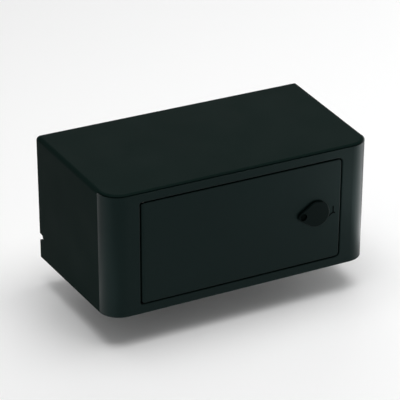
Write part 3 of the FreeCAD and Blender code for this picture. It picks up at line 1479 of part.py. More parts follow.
def make_worm_bearings():
    """Two shielded ball bearings: a ring with a shallow recess where each shield sits."""
    sets = []
    for name, start in (("left_bearing", "pad_left"), ("right_bearing", "worm_bearing_left")):
        bore, outer = "worm_shaft_radius + fit_clearance", "bearing_radius"
        inner_lip, outer_lip = "worm_shaft_radius + bearing_race", "bearing_radius - bearing_race"
        width = "bearing_width - bearing_end_gap"
        profile = [(bore, "0"), (inner_lip, "0"), (inner_lip, "shield_recess"),
                   (outer_lip, "shield_recess"), (outer_lip, "0"), (outer, "0"), (outer, width),
                   (outer_lip, width), (outer_lip, "%s - shield_recess" % width),
                   (inner_lip, "%s - shield_recess" % width), (inner_lip, width), (bore, width)]
        sets.append(turned(name, "X", ("worm_y", "worm_z"), start, profile))
    return group("worm_bearings_pair", sets)


# motor

def make_motor():
    at = ("worm_y", "worm_z")
    half = "motor_flange_half"
    flange = new_body("motor_flange_form")
    square = rectangle(("worm_y - %s" % half, "worm_y + %s" % half),
                       ("worm_z - %s" % half, "worm_z + %s" % half))
    pad(flange, "YZ_Plane", [square], ("flange_left", "pad_left"))
    round_edges(flange, "flange_corner", lambda p, q: near(p.y, q.y) and near(p.z, q.z))
    holes = [(place, "screw_radius + hole_clearance") for place in motor_screw_places()]
    holes.append((at, "worm_shaft_radius + shaft_way"))
    pocket(flange, "YZ_Plane", [], ("flange_left - over", "pad_left + over"), holes)
    node(flange, "motor_flange")
    node(ring("motor_can_form", "X", at, "motor_radius", "motor_radius - motor_wall",
              ("can_left", "flange_left")), "motor_can")
    node(make_rear_cap(at), "motor_rear_cap")
    make_armature(at)
    brushes = []
    for name, sign in (("upper_brush", 1), ("lower_brush", -1)):
        inner = "worm_z + (%d) * (commutator_radius + brush_gap)" % sign
        outer = "worm_z + (%d) * (motor_radius - motor_wall - brush_end_gap)" % sign
        brushes.append(box(name, ("commutator_left + brush_gap", "commutator_right - brush_gap"),
                           ("worm_y - brush_width / 2", "worm_y + brush_width / 2"), ordered(inner, outer)))
    node(group("carbon_brushes_pair", brushes), "carbon_brushes")


def make_rear_cap(at):
    """A turned cup with a hub inside for the end of the motor's shaft."""
    bore = "worm_shaft_radius + running_clearance"
    hub = "worm_shaft_radius + rear_hub_wall"
    length = "rear_cap_thickness"
    hub_end = "rear_cap_thickness + rear_hub_length"
    return turned("motor_rear_cap_form", "X", at, "cap_left",
                  [("0", "0"), ("motor_radius - rear_cap_thickness", "0"),
                   ("motor_radius", "rear_cap_thickness / 2"), ("motor_radius", length), (hub, length),
                   (hub, hub_end), (bore, hub_end), (bore, "rear_cap_web"), ("0", "rear_cap_web")])


def make_armature(at):
    span = ("armature_left", "armature_right")
    past = ("armature_left - over", "armature_right + over")
    inner, outer = "armature_radius + magnet_gap", "motor_radius - motor_wall - fit_clearance"
    split = box("magnet_split", span, ("worm_y - magnet_split / 2", "worm_y + magnet_split / 2"),
                ("worm_z - 2 * motor_radius", "worm_z + 2 * motor_radius"))
    node(cut("motor_magnets_form", ring("magnet_ring", "X", at, outer, inner, span), [split]),
         "motor_magnets")
    shaft_bore = "worm_shaft_radius + fit_clearance"
    tools = [rod("armature_bore", "X", at, shaft_bore, past)]
    slots = int(num("armature_slots"))
    for i in range(slots):
        place = ["worm_%s + (armature_radius - armature_slot_sink) * %s(%d * 360 / armature_slots)" % (axis,
                                                                                                       turn,
                                                                                                       i)
                 for axis, turn in (("y", "cos"), ("z", "sin"))]
        tools.append(rod("armature_slot_%d" % i, "X", place, "armature_slot_radius", past))
    node(cut("armature_form", rod("armature_stack", "X", at, "armature_radius", span), tools), "armature")
    node(ring("commutator_form", "X", at, "commutator_radius", shaft_bore,
              ("commutator_left", "commutator_right")), "commutator")


# manual release

def make_release():
    at = ("release_x", "release_z")
    shaft = rod("release_bar", "Y", at, "release_radius", ("lever_front - release_stub", "crank_back"))
    disc = rod("release_crank", "Y", at, "clutch_travel + pin_radius + crank_rim",
               ("crank_front", "crank_back"))
    pin_x = "release_x + clutch_travel * cos(release_rest_angle)"
    pin = rod("release_pin", "Y", (pin_x, "groove_middle"), "pin_radius",
              ("crank_front", "shaft_y - sleeve_radius + groove_depth - pin_end_gap"))
    node(fuse("release_shaft_form", [shaft, disc, pin]), "release_shaft")
    y = ("lever_front", "lever_back")
    half = "release_lever_width / 2"
    arm = box("lever_arm", ("release_x - %s" % half, "release_x + %s" % half), y,
              ("release_z", "release_z + release_lever_length - %s" % half))
    end = rod("lever_end", "Y", ("release_x", "release_z + release_lever_length - %s" % half), half, y)
    hub = rod("lever_hub", "Y", at, "release_radius + lever_hub_wall", y)
    bore = rod("lever_bore", "Y", at, "release_radius + fit_clearance",
               ("lever_front - over", "lever_back + over"))
    node(cut("release_lever_form", fuse("lever_blank", [arm, end, hub]), [bore]), "release_lever")


# limit switching

def switch_screw_places():
    y = "switch_back - switch_depth + switch_screw_inset"
    return [("shaft_x - switch_length / 2 + switch_screw_inset", y),
            ("shaft_x + switch_length / 2 - switch_screw_inset", y)]


def make_limit_cams():
    """Two cams on the shaft's head: each lobe faces its switch at one end of the travel."""
    cams = []
    for name, lift, angle in (("open_cam", "0", "switch_angle - output_travel"),
                              ("closed_cam", "limit_cam_pitch", "switch_angle")):
        low = "cam_low + %s" % lift
        span = (low, "%s + limit_cam_height" % low)
        reach = "limit_cam_radius + limit_lobe_rise - lobe_radius"
        lobe = rod(name + "_lobe", "Z",
                   ("shaft_x + (%s) * cos(%s)" % (reach, angle),
                    "shaft_y + (%s) * sin(%s)" % (reach, angle)), "lobe_radius", span)
        disc = rod(name + "_disc", "Z", ("shaft_x", "shaft_y"), "limit_cam_radius", span)
        bore = rod(name + "_bore", "Z", ("shaft_x", "shaft_y"), "shaft_upper_radius + fit_clearance",
                   ("%s - over" % low, "%s + limit_cam_height + over" % low))
        cams.append(cut(name + "_form", fuse(name + "_blank", [disc, lobe]), [bore]))
    return group("limit_cams_pair", cams)


def make_limit_switches():
    bodies = []
    for name, lift in (("open", "0"), ("closed", "limit_cam_pitch")):
        middle = "cam_low + limit_cam_height / 2 + %s" % lift
        z = ("%s - switch_height / 2" % middle, "%s + switch_height / 2" % middle)
        block = box(name + "_switch", ("shaft_x - switch_length / 2", "shaft_x + switch_length / 2"),
                    ("switch_back - switch_depth", "switch_back"), z)
        holes = [rod(name + "_switch_bore", "Y", ("shaft_x", middle), "plunger_radius + running_clearance",
                     ("switch_back - plunger_bore_depth", "switch_back + over"))]
        for i, at in enumerate(switch_screw_places()):
            holes.append(rod("%s_switch_hole_%d" % (name, i), "Z", at,
                             "switch_screw_radius + running_clearance",
                             ("%s - over" % z[0], "%s + over" % z[1])))
        bodies.append(cut(name + "_switch_form", block, holes))
        plunger = rod(name + "_plunger", "Y", ("shaft_x", middle), "plunger_radius",
                      ("switch_back - plunger_root", "switch_back + plunger_reach"))
        node(plunger, name + "_switch_plunger")
    node(group("limit_switches_pair", bodies), "limit_switches")
    screws = []
    top = "cam_low + limit_cam_height / 2 + limit_cam_pitch + switch_height / 2"
    for i, at in enumerate(switch_screw_places()):
        shank = rod("switch_screw_shank_%d" % i, "Z", at, "switch_screw_radius",
                    ("lid_low + switch_pilot_skin + switch_tip_gap", top))
        head = rod("switch_screw_head_%d" % i, "Z", at, "switch_screw_radius + switch_screw_rim",
                   (top, "%s + switch_screw_head_height" % top))
        screws.append(fuse("switch_screw_%d" % i, [shank, head]))
    return screws


# control board

def tray_form(x):
    """An upright wall with a foot along its lower edge."""
    tray = new_body("board_tray_form")
    wall = rectangle(("%s - tray_rim" % x[0], "%s + tray_rim" % x[1]),
                     ("shelf_top", "board_high + tray_rim"))
    pad(tray, "XZ_Plane", [wall], ("tray_face", "-tray_front"))
    foot = rectangle(("%s + tray_foot_inset" % x[0], x[1]), ("shelf_top", "shelf_top + tray_thickness"))
    pad(tray, "XZ_Plane", [foot], ("-tray_front - sink", "-tray_front + tray_foot"))
    pocket(tray, "XY_Plane", [], ("shelf_top - over", "shelf_top + tray_thickness + over"),
           [(at, "screw_radius + hole_clearance") for at in tray_foot_places()])
    return tray


def on_board(name, left, low, width, height, depth):
    """A block on the board's face, from the board's lower left corner."""
    near_end, foot = "board_left + %s" % left, "board_low + %s" % low
    return box(name, (near_end, "%s + %s" % (near_end, width)), ("board_face - %s" % depth, "board_face"),
               (foot, "%s + %s" % (foot, height)))


def make_fuse():
    """A glass fuse, held by two sprung clips that are open to the front."""
    z, y = "board_low + fuse_low", "board_face - fuse_rise"
    start, end = "board_right - fuse_inset - fuse_length", "board_right - fuse_inset"
    node(rod("fuse_form", "X", (y, z), "fuse_radius", (start, end)), "fuse")
    clips = []
    for i, span in enumerate(((start + " + clip_inset", start + " + clip_inset + clip_width"),
                              (end + " - clip_inset - clip_width", end + " - clip_inset"))):
        clip = box("fuse_clip_block_%d" % i, span, ("board_face - clip_depth", "board_face"),
                   ("%s - clip_height / 2" % z, "%s + clip_height / 2" % z))
        past = (span[0] + " - over", span[1] + " + over")
        groove = rod("fuse_clip_bore_%d" % i, "X", (y, z), "fuse_radius + fit_clearance", past)
        mouth = box("fuse_clip_mouth_%d" % i, past, ("board_face - clip_depth - over", y),
                    ("%s - clip_mouth / 2" % z, "%s + clip_mouth / 2" % z))
        clips.append(cut("fuse_clip_%d" % i, clip, [groove, mouth]))
    node(group("fuse_clips_pair", clips), "fuse_clips")


def make_board():
    x = ("board_left", "board_right")
    inset = "standoff_inset"
    corners = [("%s + %s" % (x[0], inset), "board_low + " + inset),
               ("%s - %s" % (x[1], inset), "board_low + " + inset),
               ("%s + %s" % (x[0], inset), "board_high - " + inset),
               ("%s - %s" % (x[1], inset), "board_high - " + inset)]
    posts, pilots, screws = [], [], []
    for i, at in enumerate(corners):
        posts.append(rod("standoff_%d" % i, "Y", at, "standoff_radius", ("board_back", "tray_face + sink")))
        pilots.append(rod("standoff_pilot_%d" % i, "Y", at, "board_screw_radius + thread_clearance",
                          ("board_back - over", "tray_face - standoff_skin")))
        shank = rod("board_screw_shank_%d" % i, "Y", at, "board_screw_radius",
                    ("board_face", "tray_face - standoff_skin - board_tip_gap"))
        head = rod("board_screw_head_%d" % i, "Y", at, "board_screw_head_radius",
                   ("board_face - board_screw_head_height", "board_face"))
        screws.append(fuse("board_screw_%d" % i, [shank, head]))
    node(cut("board_tray_whole", fuse("board_tray_added", [tray_form(x)] + posts), pilots), "board_tray")
    terminals = [on_board("terminal_%d" % i, "terminals_left + %d * (terminal_width + terminal_gap)" % i,
                          "terminals_low", "terminal_width", "terminal_height", "terminal_depth")
                 for i in range(3)]
    node(group("terminal_blocks_row", terminals), "terminal_blocks")
    relays = [on_board("relay_%d" % i, "relays_left + %d * (relay_width + relay_gap)" % i, "relays_low",
                       "relay_width", "relay_height", "relay_depth") for i in range(2)]
    node(group("relays_pair", relays), "relays")
    node(rod("smoothing_capacitor_form", "Y",
             ("board_right - capacitor_inset", "board_low + capacitor_low"), "capacitor_radius",
             ("board_face - capacitor_depth", "board_face")), "smoothing_capacitor")
    make_fuse()
    soldered = [box("board_sheet", x, ("board_face", "board_back"), ("board_low", "board_high")),
                on_board("processor", "processor_left", "processor_low", "processor_size", "processor_size",
                         "processor_depth"),
                on_board("receiver_can", "receiver_left", "receiver_low", "receiver_width",
                         "receiver_height", "receiver_depth")]
    bores = [rod("board_hole_%d" % i, "Y", at, "board_screw_radius + hole_clearance",
                 ("board_face - over", "board_back + over")) for i, at in enumerate(corners)]
    for name in ("learn", "test"):
        left = "board_width - %s_inset" % name
        at = ("board_left + %s + housing_size / 2" % left, "board_low + housings_low + housing_size / 2")
        soldered.append(on_board(name + "_housing", left, "housings_low", "housing_size", "housing_size",
                                 "housing_depth"))
        bores.append(rod(name + "_button_hole", "Y", at, "button_radius + running_clearance",
                         ("board_face - housing_depth - over", "board_face - button_root")))
        root = "board_face - button_root - running_clearance - button_travel"
        node(rod(name + "_button_form", "Y", at, "button_radius", ("board_face - housing_size", root)),
             name + "_button")
    node(cut("control_board_form", fuse("board_with_parts", soldered), bores), "control_board")
    return screws


# transformer

def make_transformer():
    x_half, y_half = "core_thickness / 2", "core_length / 2"
    x = ("core_middle - %s" % x_half, "core_middle + %s" % x_half)
    core = box("core_block", x, ("-core_setback - %s" % y_half, "-core_setback + %s" % y_half),
               ("shelf_top", "shelf_top + core_height"))
    z = ("shelf_top + core_limb", "shelf_top + core_height - core_limb")
    windows = []
    for i, sign in enumerate((-1, 1)):
        y = ordered("-core_setback + (%d) * core_limb" % sign,
                    "-core_setback + (%d) * (%s - core_limb)" % (sign, y_half))
        windows.append(box("core_window_%d" % i, ("%s - over" % x[0], "%s + over" % x[1]), y, z))
    node(cut("transformer_core_form", core, windows), "transformer_core")
    gap = "coil_gap"
    coil_y = "%s - core_limb - %s" % (y_half, gap)
    outer = box("coil_block", ("%s - coil_rise" % x[0], "%s + coil_rise" % x[1]),
                ("-core_setback - (%s)" % coil_y, "-core_setback + (%s)" % coil_y),
                ("%s + %s" % (z[0], gap), "%s - %s" % (z[1], gap)))
    inner = box("coil_hole", ("%s - %s" % (x[0], gap), "%s + %s" % (x[1], gap)),
                ("-core_setback - core_limb - %s" % gap, "-core_setback + core_limb + %s" % gap),
                ("%s - over" % z[0], "%s + over" % z[1]))
    node(cut("transformer_coil_form", outer, [inner]), "transformer_coil")
    t = "strap_thickness"
    strap_outer = box("strap_outer", x,
                      ("-core_setback - %s - %s" % (y_half, t), "-core_setback + %s + %s" % (y_half, t)),
                      ("shelf_top", "shelf_top + core_height + %s" % t))
    strap_inner = box("strap_inner", ("%s - over" % x[0], "%s + over" % x[1]),
                      ("-core_setback - %s" % y_half, "-core_setback + %s" % y_half),
                      ("shelf_top - over", "shelf_top + core_height"))
    feet = box("strap_feet", x,
               ("-core_setback - %s - frame_foot" % y_half, "-core_setback + %s + frame_foot" % y_half),
               ("shelf_top", "shelf_top + %s" % t))
    holes = [rod("strap_hole_%d" % i, "Z", at, "screw_radius + hole_clearance",
                 ("shelf_top - over", "shelf_top + %s + over" % t)) for i,
             at in enumerate(frame_foot_places())]
    node(cut("transformer_strap_form", fuse("strap_blank", [strap_outer, feet]), [strap_inner] + holes),
         "transformer_strap")


# cable gland

def hexagon(x, y, radius):
    return [("%s + %s * cos(%d)" % (x, radius, angle), "%s + %s * sin(%d)" % (y, radius, angle))
            for angle in range(0, 360, 60)]


def make_gland():
    x, y = "-gland_x", "-gland_setback"
    body = new_body("gland_body_form")
    pad(body, "XY_Plane", [hexagon(x, y, "gland_hex_radius")],
        ("shelf_bottom - gland_collar", "shelf_bottom"))
    pad(body, "XY_Plane", [], ("shelf_bottom - sink", "shelf_top + gland_thread"),
        [((x, y), "gland_radius")])
    pocket(body, "XY_Plane", [], ("shelf_bottom - gland_collar - over", "shelf_top + gland_thread + over"),
           [((x, y), "gland_bore_radius")])
    node(body, "gland_body")
    nut = new_body("gland_nut_form")
    pad(nut, "XY_Plane", [hexagon(x, y, "gland_hex_radius")], ("shelf_top", "shelf_top + gland_nut_height"))
    pocket(nut, "XY_Plane", [], ("shelf_top - over", "shelf_top + gland_nut_height + over"),
           [((x, y), "gland_radius + fit_clearance")])
    node(nut, "gland_nut")
    dome = turned("gland_dome_form", "Z", (x, y), "shelf_bottom - gland_collar - gland_dome",
                  [("gland_bore_radius", "0"), ("gland_bore_radius + dome_lip", "0"),
                   ("gland_hex_radius - dome_low_inset", "dome_taper_rise"),
                   ("gland_hex_radius - dome_high_inset", "gland_dome"),
                   ("gland_bore_radius", "gland_dome")])
    node(dome, "gland_dome")


def screws(name, axis, places, seat, outward, length):
    """Alike screws at several places: their tips lie a length below the seat."""
    tip = "(%s) - (%d) * %s" % (seat, outward, length)
    return [screw("%s_%d" % (name, i), axis, at, tip, seat, outward) for i, at in enumerate(places)]


def bolt(name, at):
    """A hexagon-socket bolt through a foot of the gearbox into the shelf."""
    seat = "shelf_top + foot_thickness"
    shank = rod(name + "_shank", "Z", at, "bolt_radius", ("shelf_bottom + bolt_tip_gap", seat))
    head = rod(name + "_head", "Z", at, "bolt_head_radius", (seat, "%s + bolt_head_height" % seat))
    socket = rod(name + "_socket", "Z", at, "bolt_socket_radius",
                 ("%s + bolt_head_height - bolt_socket_depth" % seat,
                  "%s + bolt_head_height + over" % seat))
    return cut(name, fuse(name + "_blank", [shank, head]), [socket])


def build():
    node(make_cover_shell(), "cover_shell")
    node(make_front_fascia(), "front_fascia")
    node(make_door(), "access_door")
    node(make_hinge_pins(), "hinge_pins")
    node(make_door_seal(), "door_seal")
    make_lock()
    node(make_lock_cover(), "lock_cover")
    node(make_rivet(), "lock_cover_rivet")
    node(make_base_plate(), "base_plate")
    node(make_gearbox_case(), "gearbox_case")
    node(make_lid(), "gearbox_lid")
    node(make_gasket(), "lid_gasket")
    node(make_bushes(), "shaft_bushes")
    node(make_output_gear(), "output_gear")
    node(make_clutch_sleeve(), "clutch_sleeve")
    node(make_lay_shaft(), "lay_shaft")
    node(make_lay_gear(), "lay_gear")
    node(make_compound_pinion(), "compound_pinion")
    node(make_worm_wheel(), "worm_wheel")
    node(make_worm_shaft(), "worm_shaft")
    make_output_shaft()
    node(make_shaft_seal(), "shaft_seal")
    node(make_worm_bearings(), "worm_bearings")
    make_motor()
    make_release()
    node(make_limit_cams(), "limit_cams")
    small_screws = make_limit_switches() + make_board()
    node(group("small_screws_set", small_screws), "small_screws")
    make_transformer()
    make_gland()
    pillars = [(mirrored(sign, "pillar_x"), rise) for sign in (-1, 1)
               for rise in ("pillar_low", "pillar_high")]
    tabs = [(mirrored(sign, "tab_offset"), "tab_hole") for sign in (-1, 1)]
    long_screws = screws("fascia_screw", "Y", pillars, "gusset_front + cover_wall", 1, "screw_length")
    long_screws += screws("tab_screw", "Y", tabs, "ear_front", -1, "screw_length")
    long_screws += screws("lid_screw", "Z", boss_places(), "lid_high", 1, "screw_length")
    long_screws += screws("motor_screw", "X", motor_screw_places(), "flange_left", -1, "screw_length")
    node(group("cap_screws_set", long_screws), "cap_screws")
    short_screws = screws("tray_screw", "Z", tray_foot_places(), "shelf_top + tray_thickness", 1,
                          "short_screw_length")
    short_screws += screws("strap_screw", "Z", frame_foot_places(), "shelf_top + strap_thickness", 1,
                           "short_screw_length")
    node(group("frame_screws_set", short_screws), "frame_screws")
    node(group("gearbox_bolt_set", [bolt("gearbox_bolt_%d" % i, at) for i, at in enumerate(foot_places())]),
         "gearbox_bolts")


def check_and_write():
    doc.recompute()
    for thing in doc.Objects:
        if "Invalid" in thing.State or "Error" in thing.State:
            raise RuntimeError("%s failed: %s" % (thing.Name, thing.State))
        if thing.TypeId == "PartDesign::Pocket":
            if thing.Shape.Volume > thing.BaseFeature.Shape.Volume - LEAST_CUT:
                raise RuntimeError("%s cuts nothing" % thing.Name)
    os.makedirs("parts", exist_ok=True)
    for piece in NODES:
        shape = piece.Shape
        if shape.isNull() or not shape.isValid() or not shape.Solids:
            raise RuntimeError("%s has no sound shape" % piece.Label)
        shape.exportStep("parts/%s.step" % piece.Label)
    print("%d nodes written" % len(NODES))


build()
check_and_write()
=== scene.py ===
import bmesh
import bpy
import math
from bpy.props import FloatProperty, FloatVectorProperty, IntProperty, PointerProperty
from mathutils import Matrix, Vector


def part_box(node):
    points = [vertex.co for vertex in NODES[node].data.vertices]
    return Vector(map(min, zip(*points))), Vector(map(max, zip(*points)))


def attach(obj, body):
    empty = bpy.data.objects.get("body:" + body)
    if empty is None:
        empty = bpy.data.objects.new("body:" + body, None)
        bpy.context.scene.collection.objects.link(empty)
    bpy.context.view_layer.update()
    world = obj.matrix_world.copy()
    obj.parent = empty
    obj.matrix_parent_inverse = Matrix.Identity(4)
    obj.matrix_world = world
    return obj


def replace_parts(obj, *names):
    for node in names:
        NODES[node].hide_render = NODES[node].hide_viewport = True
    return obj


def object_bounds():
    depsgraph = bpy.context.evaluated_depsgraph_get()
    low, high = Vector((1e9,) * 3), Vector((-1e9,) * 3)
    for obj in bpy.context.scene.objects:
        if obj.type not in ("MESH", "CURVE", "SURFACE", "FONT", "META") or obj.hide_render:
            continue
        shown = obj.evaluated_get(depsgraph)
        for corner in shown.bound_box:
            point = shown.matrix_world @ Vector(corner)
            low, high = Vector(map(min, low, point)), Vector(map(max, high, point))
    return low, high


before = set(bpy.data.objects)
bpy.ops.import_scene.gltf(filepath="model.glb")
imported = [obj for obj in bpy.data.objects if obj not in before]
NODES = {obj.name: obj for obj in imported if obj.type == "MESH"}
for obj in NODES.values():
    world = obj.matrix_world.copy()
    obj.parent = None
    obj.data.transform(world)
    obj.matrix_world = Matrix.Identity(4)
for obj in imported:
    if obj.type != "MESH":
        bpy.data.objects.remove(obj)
CAD_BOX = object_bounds()

bl_info = {
    "name": "Swing gate opener",
    "version": (1, 0, 0),
    "blender": (4, 5, 0),
    "location": "View3D > Sidebar > Gate opener",
    "description": "Finishes and fine detail for an arm-type swing gate opener",
    "category": "Object",
}

MM = 0.001
FULL_TURN = 2 * math.pi
WELD = 0.001 * MM

# kinds of setting
COLOUR = {"subtype": "COLOR", "size": 3, "min": 0, "max": 1}
SHARE = {"min": 0, "max": 1}
LENGTH = {"subtype": "DISTANCE"}


# settings a user would change

class CoverSettings(bpy.types.PropertyGroup):
    """The moulded cover, its door and the flap over the keyhole"""
    colour: FloatVectorProperty(name="Plastic", description="Colour of the moulded cover",
                                default=(0.0022, 0.0056, 0.0048), **COLOUR)
    gloss: FloatProperty(name="Roughness", description="Roughness of the moulded cover", default=0.34,
                         **SHARE)
    front_shine: FloatProperty(name="Front shine", default=0.12, **SHARE,
                               description="Strength of the reflections of the front and its door")
    shell_shine: FloatProperty(name="Shell shine", default=0.006, **SHARE,
                               description="Strength of the reflections of the roof and sides")
    grain: FloatProperty(name="Grain", description="Height of the moulding's fine grain", default=0.00002,
                         **LENGTH)
    mark_width: FloatProperty(name="Mark width", description="Width of the engraved turning mark",
                              default=0.0014, **LENGTH)


class MetalSettings(bpy.types.PropertyGroup):
    """Castings, gears, plates and fasteners"""
    casting: FloatVectorProperty(name="Casting", description="Colour of the cast aluminium",
                                 default=(0.56, 0.57, 0.58), **COLOUR)
    steel: FloatVectorProperty(name="Steel", description="Colour of the machined steel",
                               default=(0.42, 0.43, 0.45), **COLOUR)
    zinc: FloatVectorProperty(name="Zinc", description="Colour of the plated steel",
                              default=(0.60, 0.61, 0.60), **COLOUR)
    bronze: FloatVectorProperty(name="Bronze", description="Colour of the worm wheel and bushes",
                                default=(0.58, 0.36, 0.15), **COLOUR)
    copper: FloatVectorProperty(name="Copper", description="Colour of the windings",
                                default=(0.60, 0.25, 0.10), **COLOUR)
    wire: FloatProperty(name="Wire", description="Diameter of the transformer's wire", min=0.0003,
                        default=0.0011, **LENGTH)


class BoardSettings(bpy.types.PropertyGroup):
    """The control board and what is soldered to it"""
    laminate: FloatVectorProperty(name="Board", description="Colour of the lacquered board",
                                  default=(0.008, 0.075, 0.030), **COLOUR)
    pins: IntProperty(name="Processor pins", description="Pins on each side of the processor", min=4, max=20,
                      default=10)
    thickness: FloatProperty(name="Thickness", description="Thickness of the bare board", default=0.0016,
                             **LENGTH)
    poles: IntProperty(name="Poles", description="Poles of each terminal block", min=1, max=5, default=3)
    terminal_gap: FloatProperty(name="Terminal gap", description="Gap between the terminal blocks",
                                default=0.001, **LENGTH)
    terminal_colour: FloatVectorProperty(name="Terminals", description="Colour of the terminal blocks",
                                         default=(0.02, 0.17, 0.06), **COLOUR)


class StageSettings(bpy.types.PropertyGroup):
    """Floor, lamps and camera"""
    ceiling: FloatProperty(name="Ceiling", description="Brightness of the room above", min=0, default=0.30)
    walls: FloatProperty(name="Walls", description="Brightness of the room at eye level", min=0, default=0.95)
    floor: FloatVectorProperty(name="Floor", description="Colour of the floor", default=(0.93, 0.93, 0.93),
                               **COLOUR)
    lens: FloatProperty(name="Lens", description="Focal length on a 36 mm wide frame", min=20, default=179.36)


# materials

class Finish:
    """A node material under construction, on the piece's own coordinates."""

    def __init__(self, name, colour, roughness, metallic=0.0, specular=0.5):
        self.material = bpy.data.materials.new(name)
        self.material.use_nodes = True
        self.tree = self.material.node_tree
        self.shader = self.tree.nodes["Principled BSDF"]
        self.place = self.tree.nodes.new("ShaderNodeTexCoord").outputs["Object"]
        self.shader.inputs["Base Color"].default_value = (*colour, 1)
        self.shader.inputs["Roughness"].default_value = roughness
        self.shader.inputs["Metallic"].default_value = metallic
        self.shader.inputs["Specular IOR Level"].default_value = specular
        self.height = None

    def node(self, kind, **inputs):
        """A shader node, with sockets or plain values on its inputs."""
        made = self.tree.nodes.new("ShaderNode" + kind)
        for name, value in inputs.items():
            socket = made.inputs[name.replace("_", " ")]
            if isinstance(value, bpy.types.NodeSocket):
                self.tree.links.new(value, socket)
            else:
                socket.default_value = value
        return made

    def mapped(self, **inputs):
        """The piece's coordinates, turned or stretched."""
        return self.node("Mapping", Vector=self.place, **inputs).outputs["Vector"]

    def noise(self, scale, detail=3.0, where=None):
        """Soft patches from 0 to 1, about as many to the metre as scale says."""
        made = self.node("TexNoise", Vector=where or self.place, Scale=scale, Detail=detail)
        return made.outputs["Fac"]

    def waves(self, scale, axis, distortion=0.0):
        """Even ripples along an axis."""
        made = self.node("TexWave", Vector=self.place, Scale=scale, Distortion=distortion)
        made.bands_direction = axis
        return made.outputs["Fac"]

    def between(self, fac, low, high):
        """A number that runs from low to high as fac goes from 0.3 to 0.7."""
        made = self.node("MapRange", Value=fac, From_Min=0.3, From_Max=0.7, To_Min=low, To_Max=high)
        return made.outputs["Result"]

    def blend(self, fac, first, second):
        """A colour between two others."""
        made = self.tree.nodes.new("ShaderNodeMix")
        made.data_type = "RGBA"
        self.tree.links.new(fac, made.inputs["Factor"])
        for socket, colour in ((made.inputs[6], first), (made.inputs[7], second)):
            if isinstance(colour, bpy.types.NodeSocket):
                self.tree.links.new(colour, socket)
            else:
                socket.default_value = (*colour, 1)
        return made.outputs[2]

    def colour(self, socket):
        """Colour the surface by a socket."""
        self.tree.links.new(socket, self.shader.inputs["Base Color"])

    def tones(self, fac, colour, dark, light):
        """Vary the surface between a darker and a lighter tone of one colour."""
        self.colour(self.blend(fac, lighter(colour, dark), lighter(colour, light)))

    def rough(self, fac, low, high):
        """Vary the roughness between two values."""
        self.tree.links.new(self.between(fac, low, high), self.shader.inputs["Roughness"])

    def bump(self, height, distance, strength=1.0):
        """Raise the surface by a socket, on top of the bumps that it has."""
        made = self.node("Bump", Height=height, Strength=strength, Distance=distance)
        if self.height is not None:
            self.tree.links.new(self.height, made.inputs["Normal"])
        self.height = made.outputs["Normal"]
        self.tree.links.new(self.height, self.shader.inputs["Normal"])

    def below(self, axis, limit):
        """One where the piece's coordinate along an axis is under a limit, zero elsewhere."""
        parts = self.node("SeparateXYZ", Vector=self.place)
        made = self.tree.nodes.new("ShaderNodeMath")
        made.operation = "LESS_THAN"
        self.tree.links.new(parts.outputs["XYZ".index(axis)], made.inputs[0])
        made.inputs[1].default_value = limit
        return made.outputs["Value"]

    def extra(self, **inputs):
        """Plain values on more of the shader's own sockets."""
        for name, value in inputs.items():
            self.shader.inputs[name.replace("_", " ")].default_value = value


def lighter(colour, factor):
    """A colour times a factor, which is under 1 for a darker one."""
    return tuple(min(1.0, part * factor) for part in colour)


def moulded(name, colour, roughness, specular=0.5, grain=0.02 * MM, tint=(1, 1, 1)):
    """Injection-moulded plastic: fine spark grain, slow changes of tone and gloss."""
    finish = Finish(name, colour, roughness, specular=specular)
    finish.tones(finish.noise(9.0, 2.0), colour, 0.86, 1.14)
    finish.rough(finish.noise(24.0, 4.0), roughness - 0.03, roughness + 0.04)
    finish.bump(finish.noise(2600.0, 2.0), grain, 0.35)
    finish.extra(Specular_Tint=(*tint, 1))
    return finish.material


def cast_metal(name, colour):
    """Die-cast skin: matt, slightly pitted, with paler flow marks."""
    finish = Finish(name, colour, 0.5, 1.0)
    finish.tones(finish.noise(38.0, 5.0), colour, 0.82, 1.1)
    finish.rough(finish.noise(70.0, 4.0), 0.42, 0.58)
    finish.bump(finish.noise(900.0, 3.0), 0.06 * MM, 0.5)
    finish.bump(finish.noise(120.0, 2.0), 0.2 * MM, 0.25)
    return finish.material


def machined(name, colour, stretch, roughness=0.3):
    """Turned or milled metal: fine tool lines, with a film of oil that changes the gloss."""
    finish = Finish(name, colour, roughness, 1.0)
    lines = finish.noise(1.0, 4.0, finish.mapped(Scale=stretch))
    finish.tones(lines, colour, 0.88, 1.08)
    finish.rough(finish.noise(60.0, 3.0), roughness - 0.07, roughness + 0.1)
    finish.bump(lines, 0.03 * MM, 0.5)
    return finish.material


def plated(name, colour, roughness=0.34):
    """Zinc or nickel plating: faint crystal mottling over rolled steel."""
    finish = Finish(name, colour, roughness, 1.0)
    warm = (colour[0] * 1.05, colour[1], colour[2] * 0.88)
    finish.colour(finish.blend(finish.noise(85.0, 5.0), lighter(colour, 0.86), warm))
    finish.rough(finish.noise(40.0, 3.0), roughness - 0.06, roughness + 0.1)
    finish.bump(finish.noise(1400.0, 2.0), 0.02 * MM, 0.4)
    return finish.material


def rubber(name):
    """Matt black rubber with a dusty bloom."""
    finish = Finish(name, (0.012, 0.012, 0.012), 0.75, specular=0.3)
    finish.colour(finish.blend(finish.noise(90.0, 4.0), (0.009, 0.009, 0.009), (0.022, 0.021, 0.020)))
    finish.bump(finish.noise(1500.0, 3.0), 0.05 * MM, 0.5)
    return finish.material


def laminated(name, colour, axis, sheet):
    """A stack of thin steel sheets: the joints show as fine lines along one axis."""
    finish = Finish(name, colour, 0.45, 1.0)
    lines = finish.waves(1 / sheet / 2, axis)
    finish.tones(lines, colour, 0.5, 1.15)
    finish.rough(finish.noise(60.0, 4.0), 0.4, 0.62)
    finish.bump(lines, 0.08 * MM, 0.6)
    return finish.material


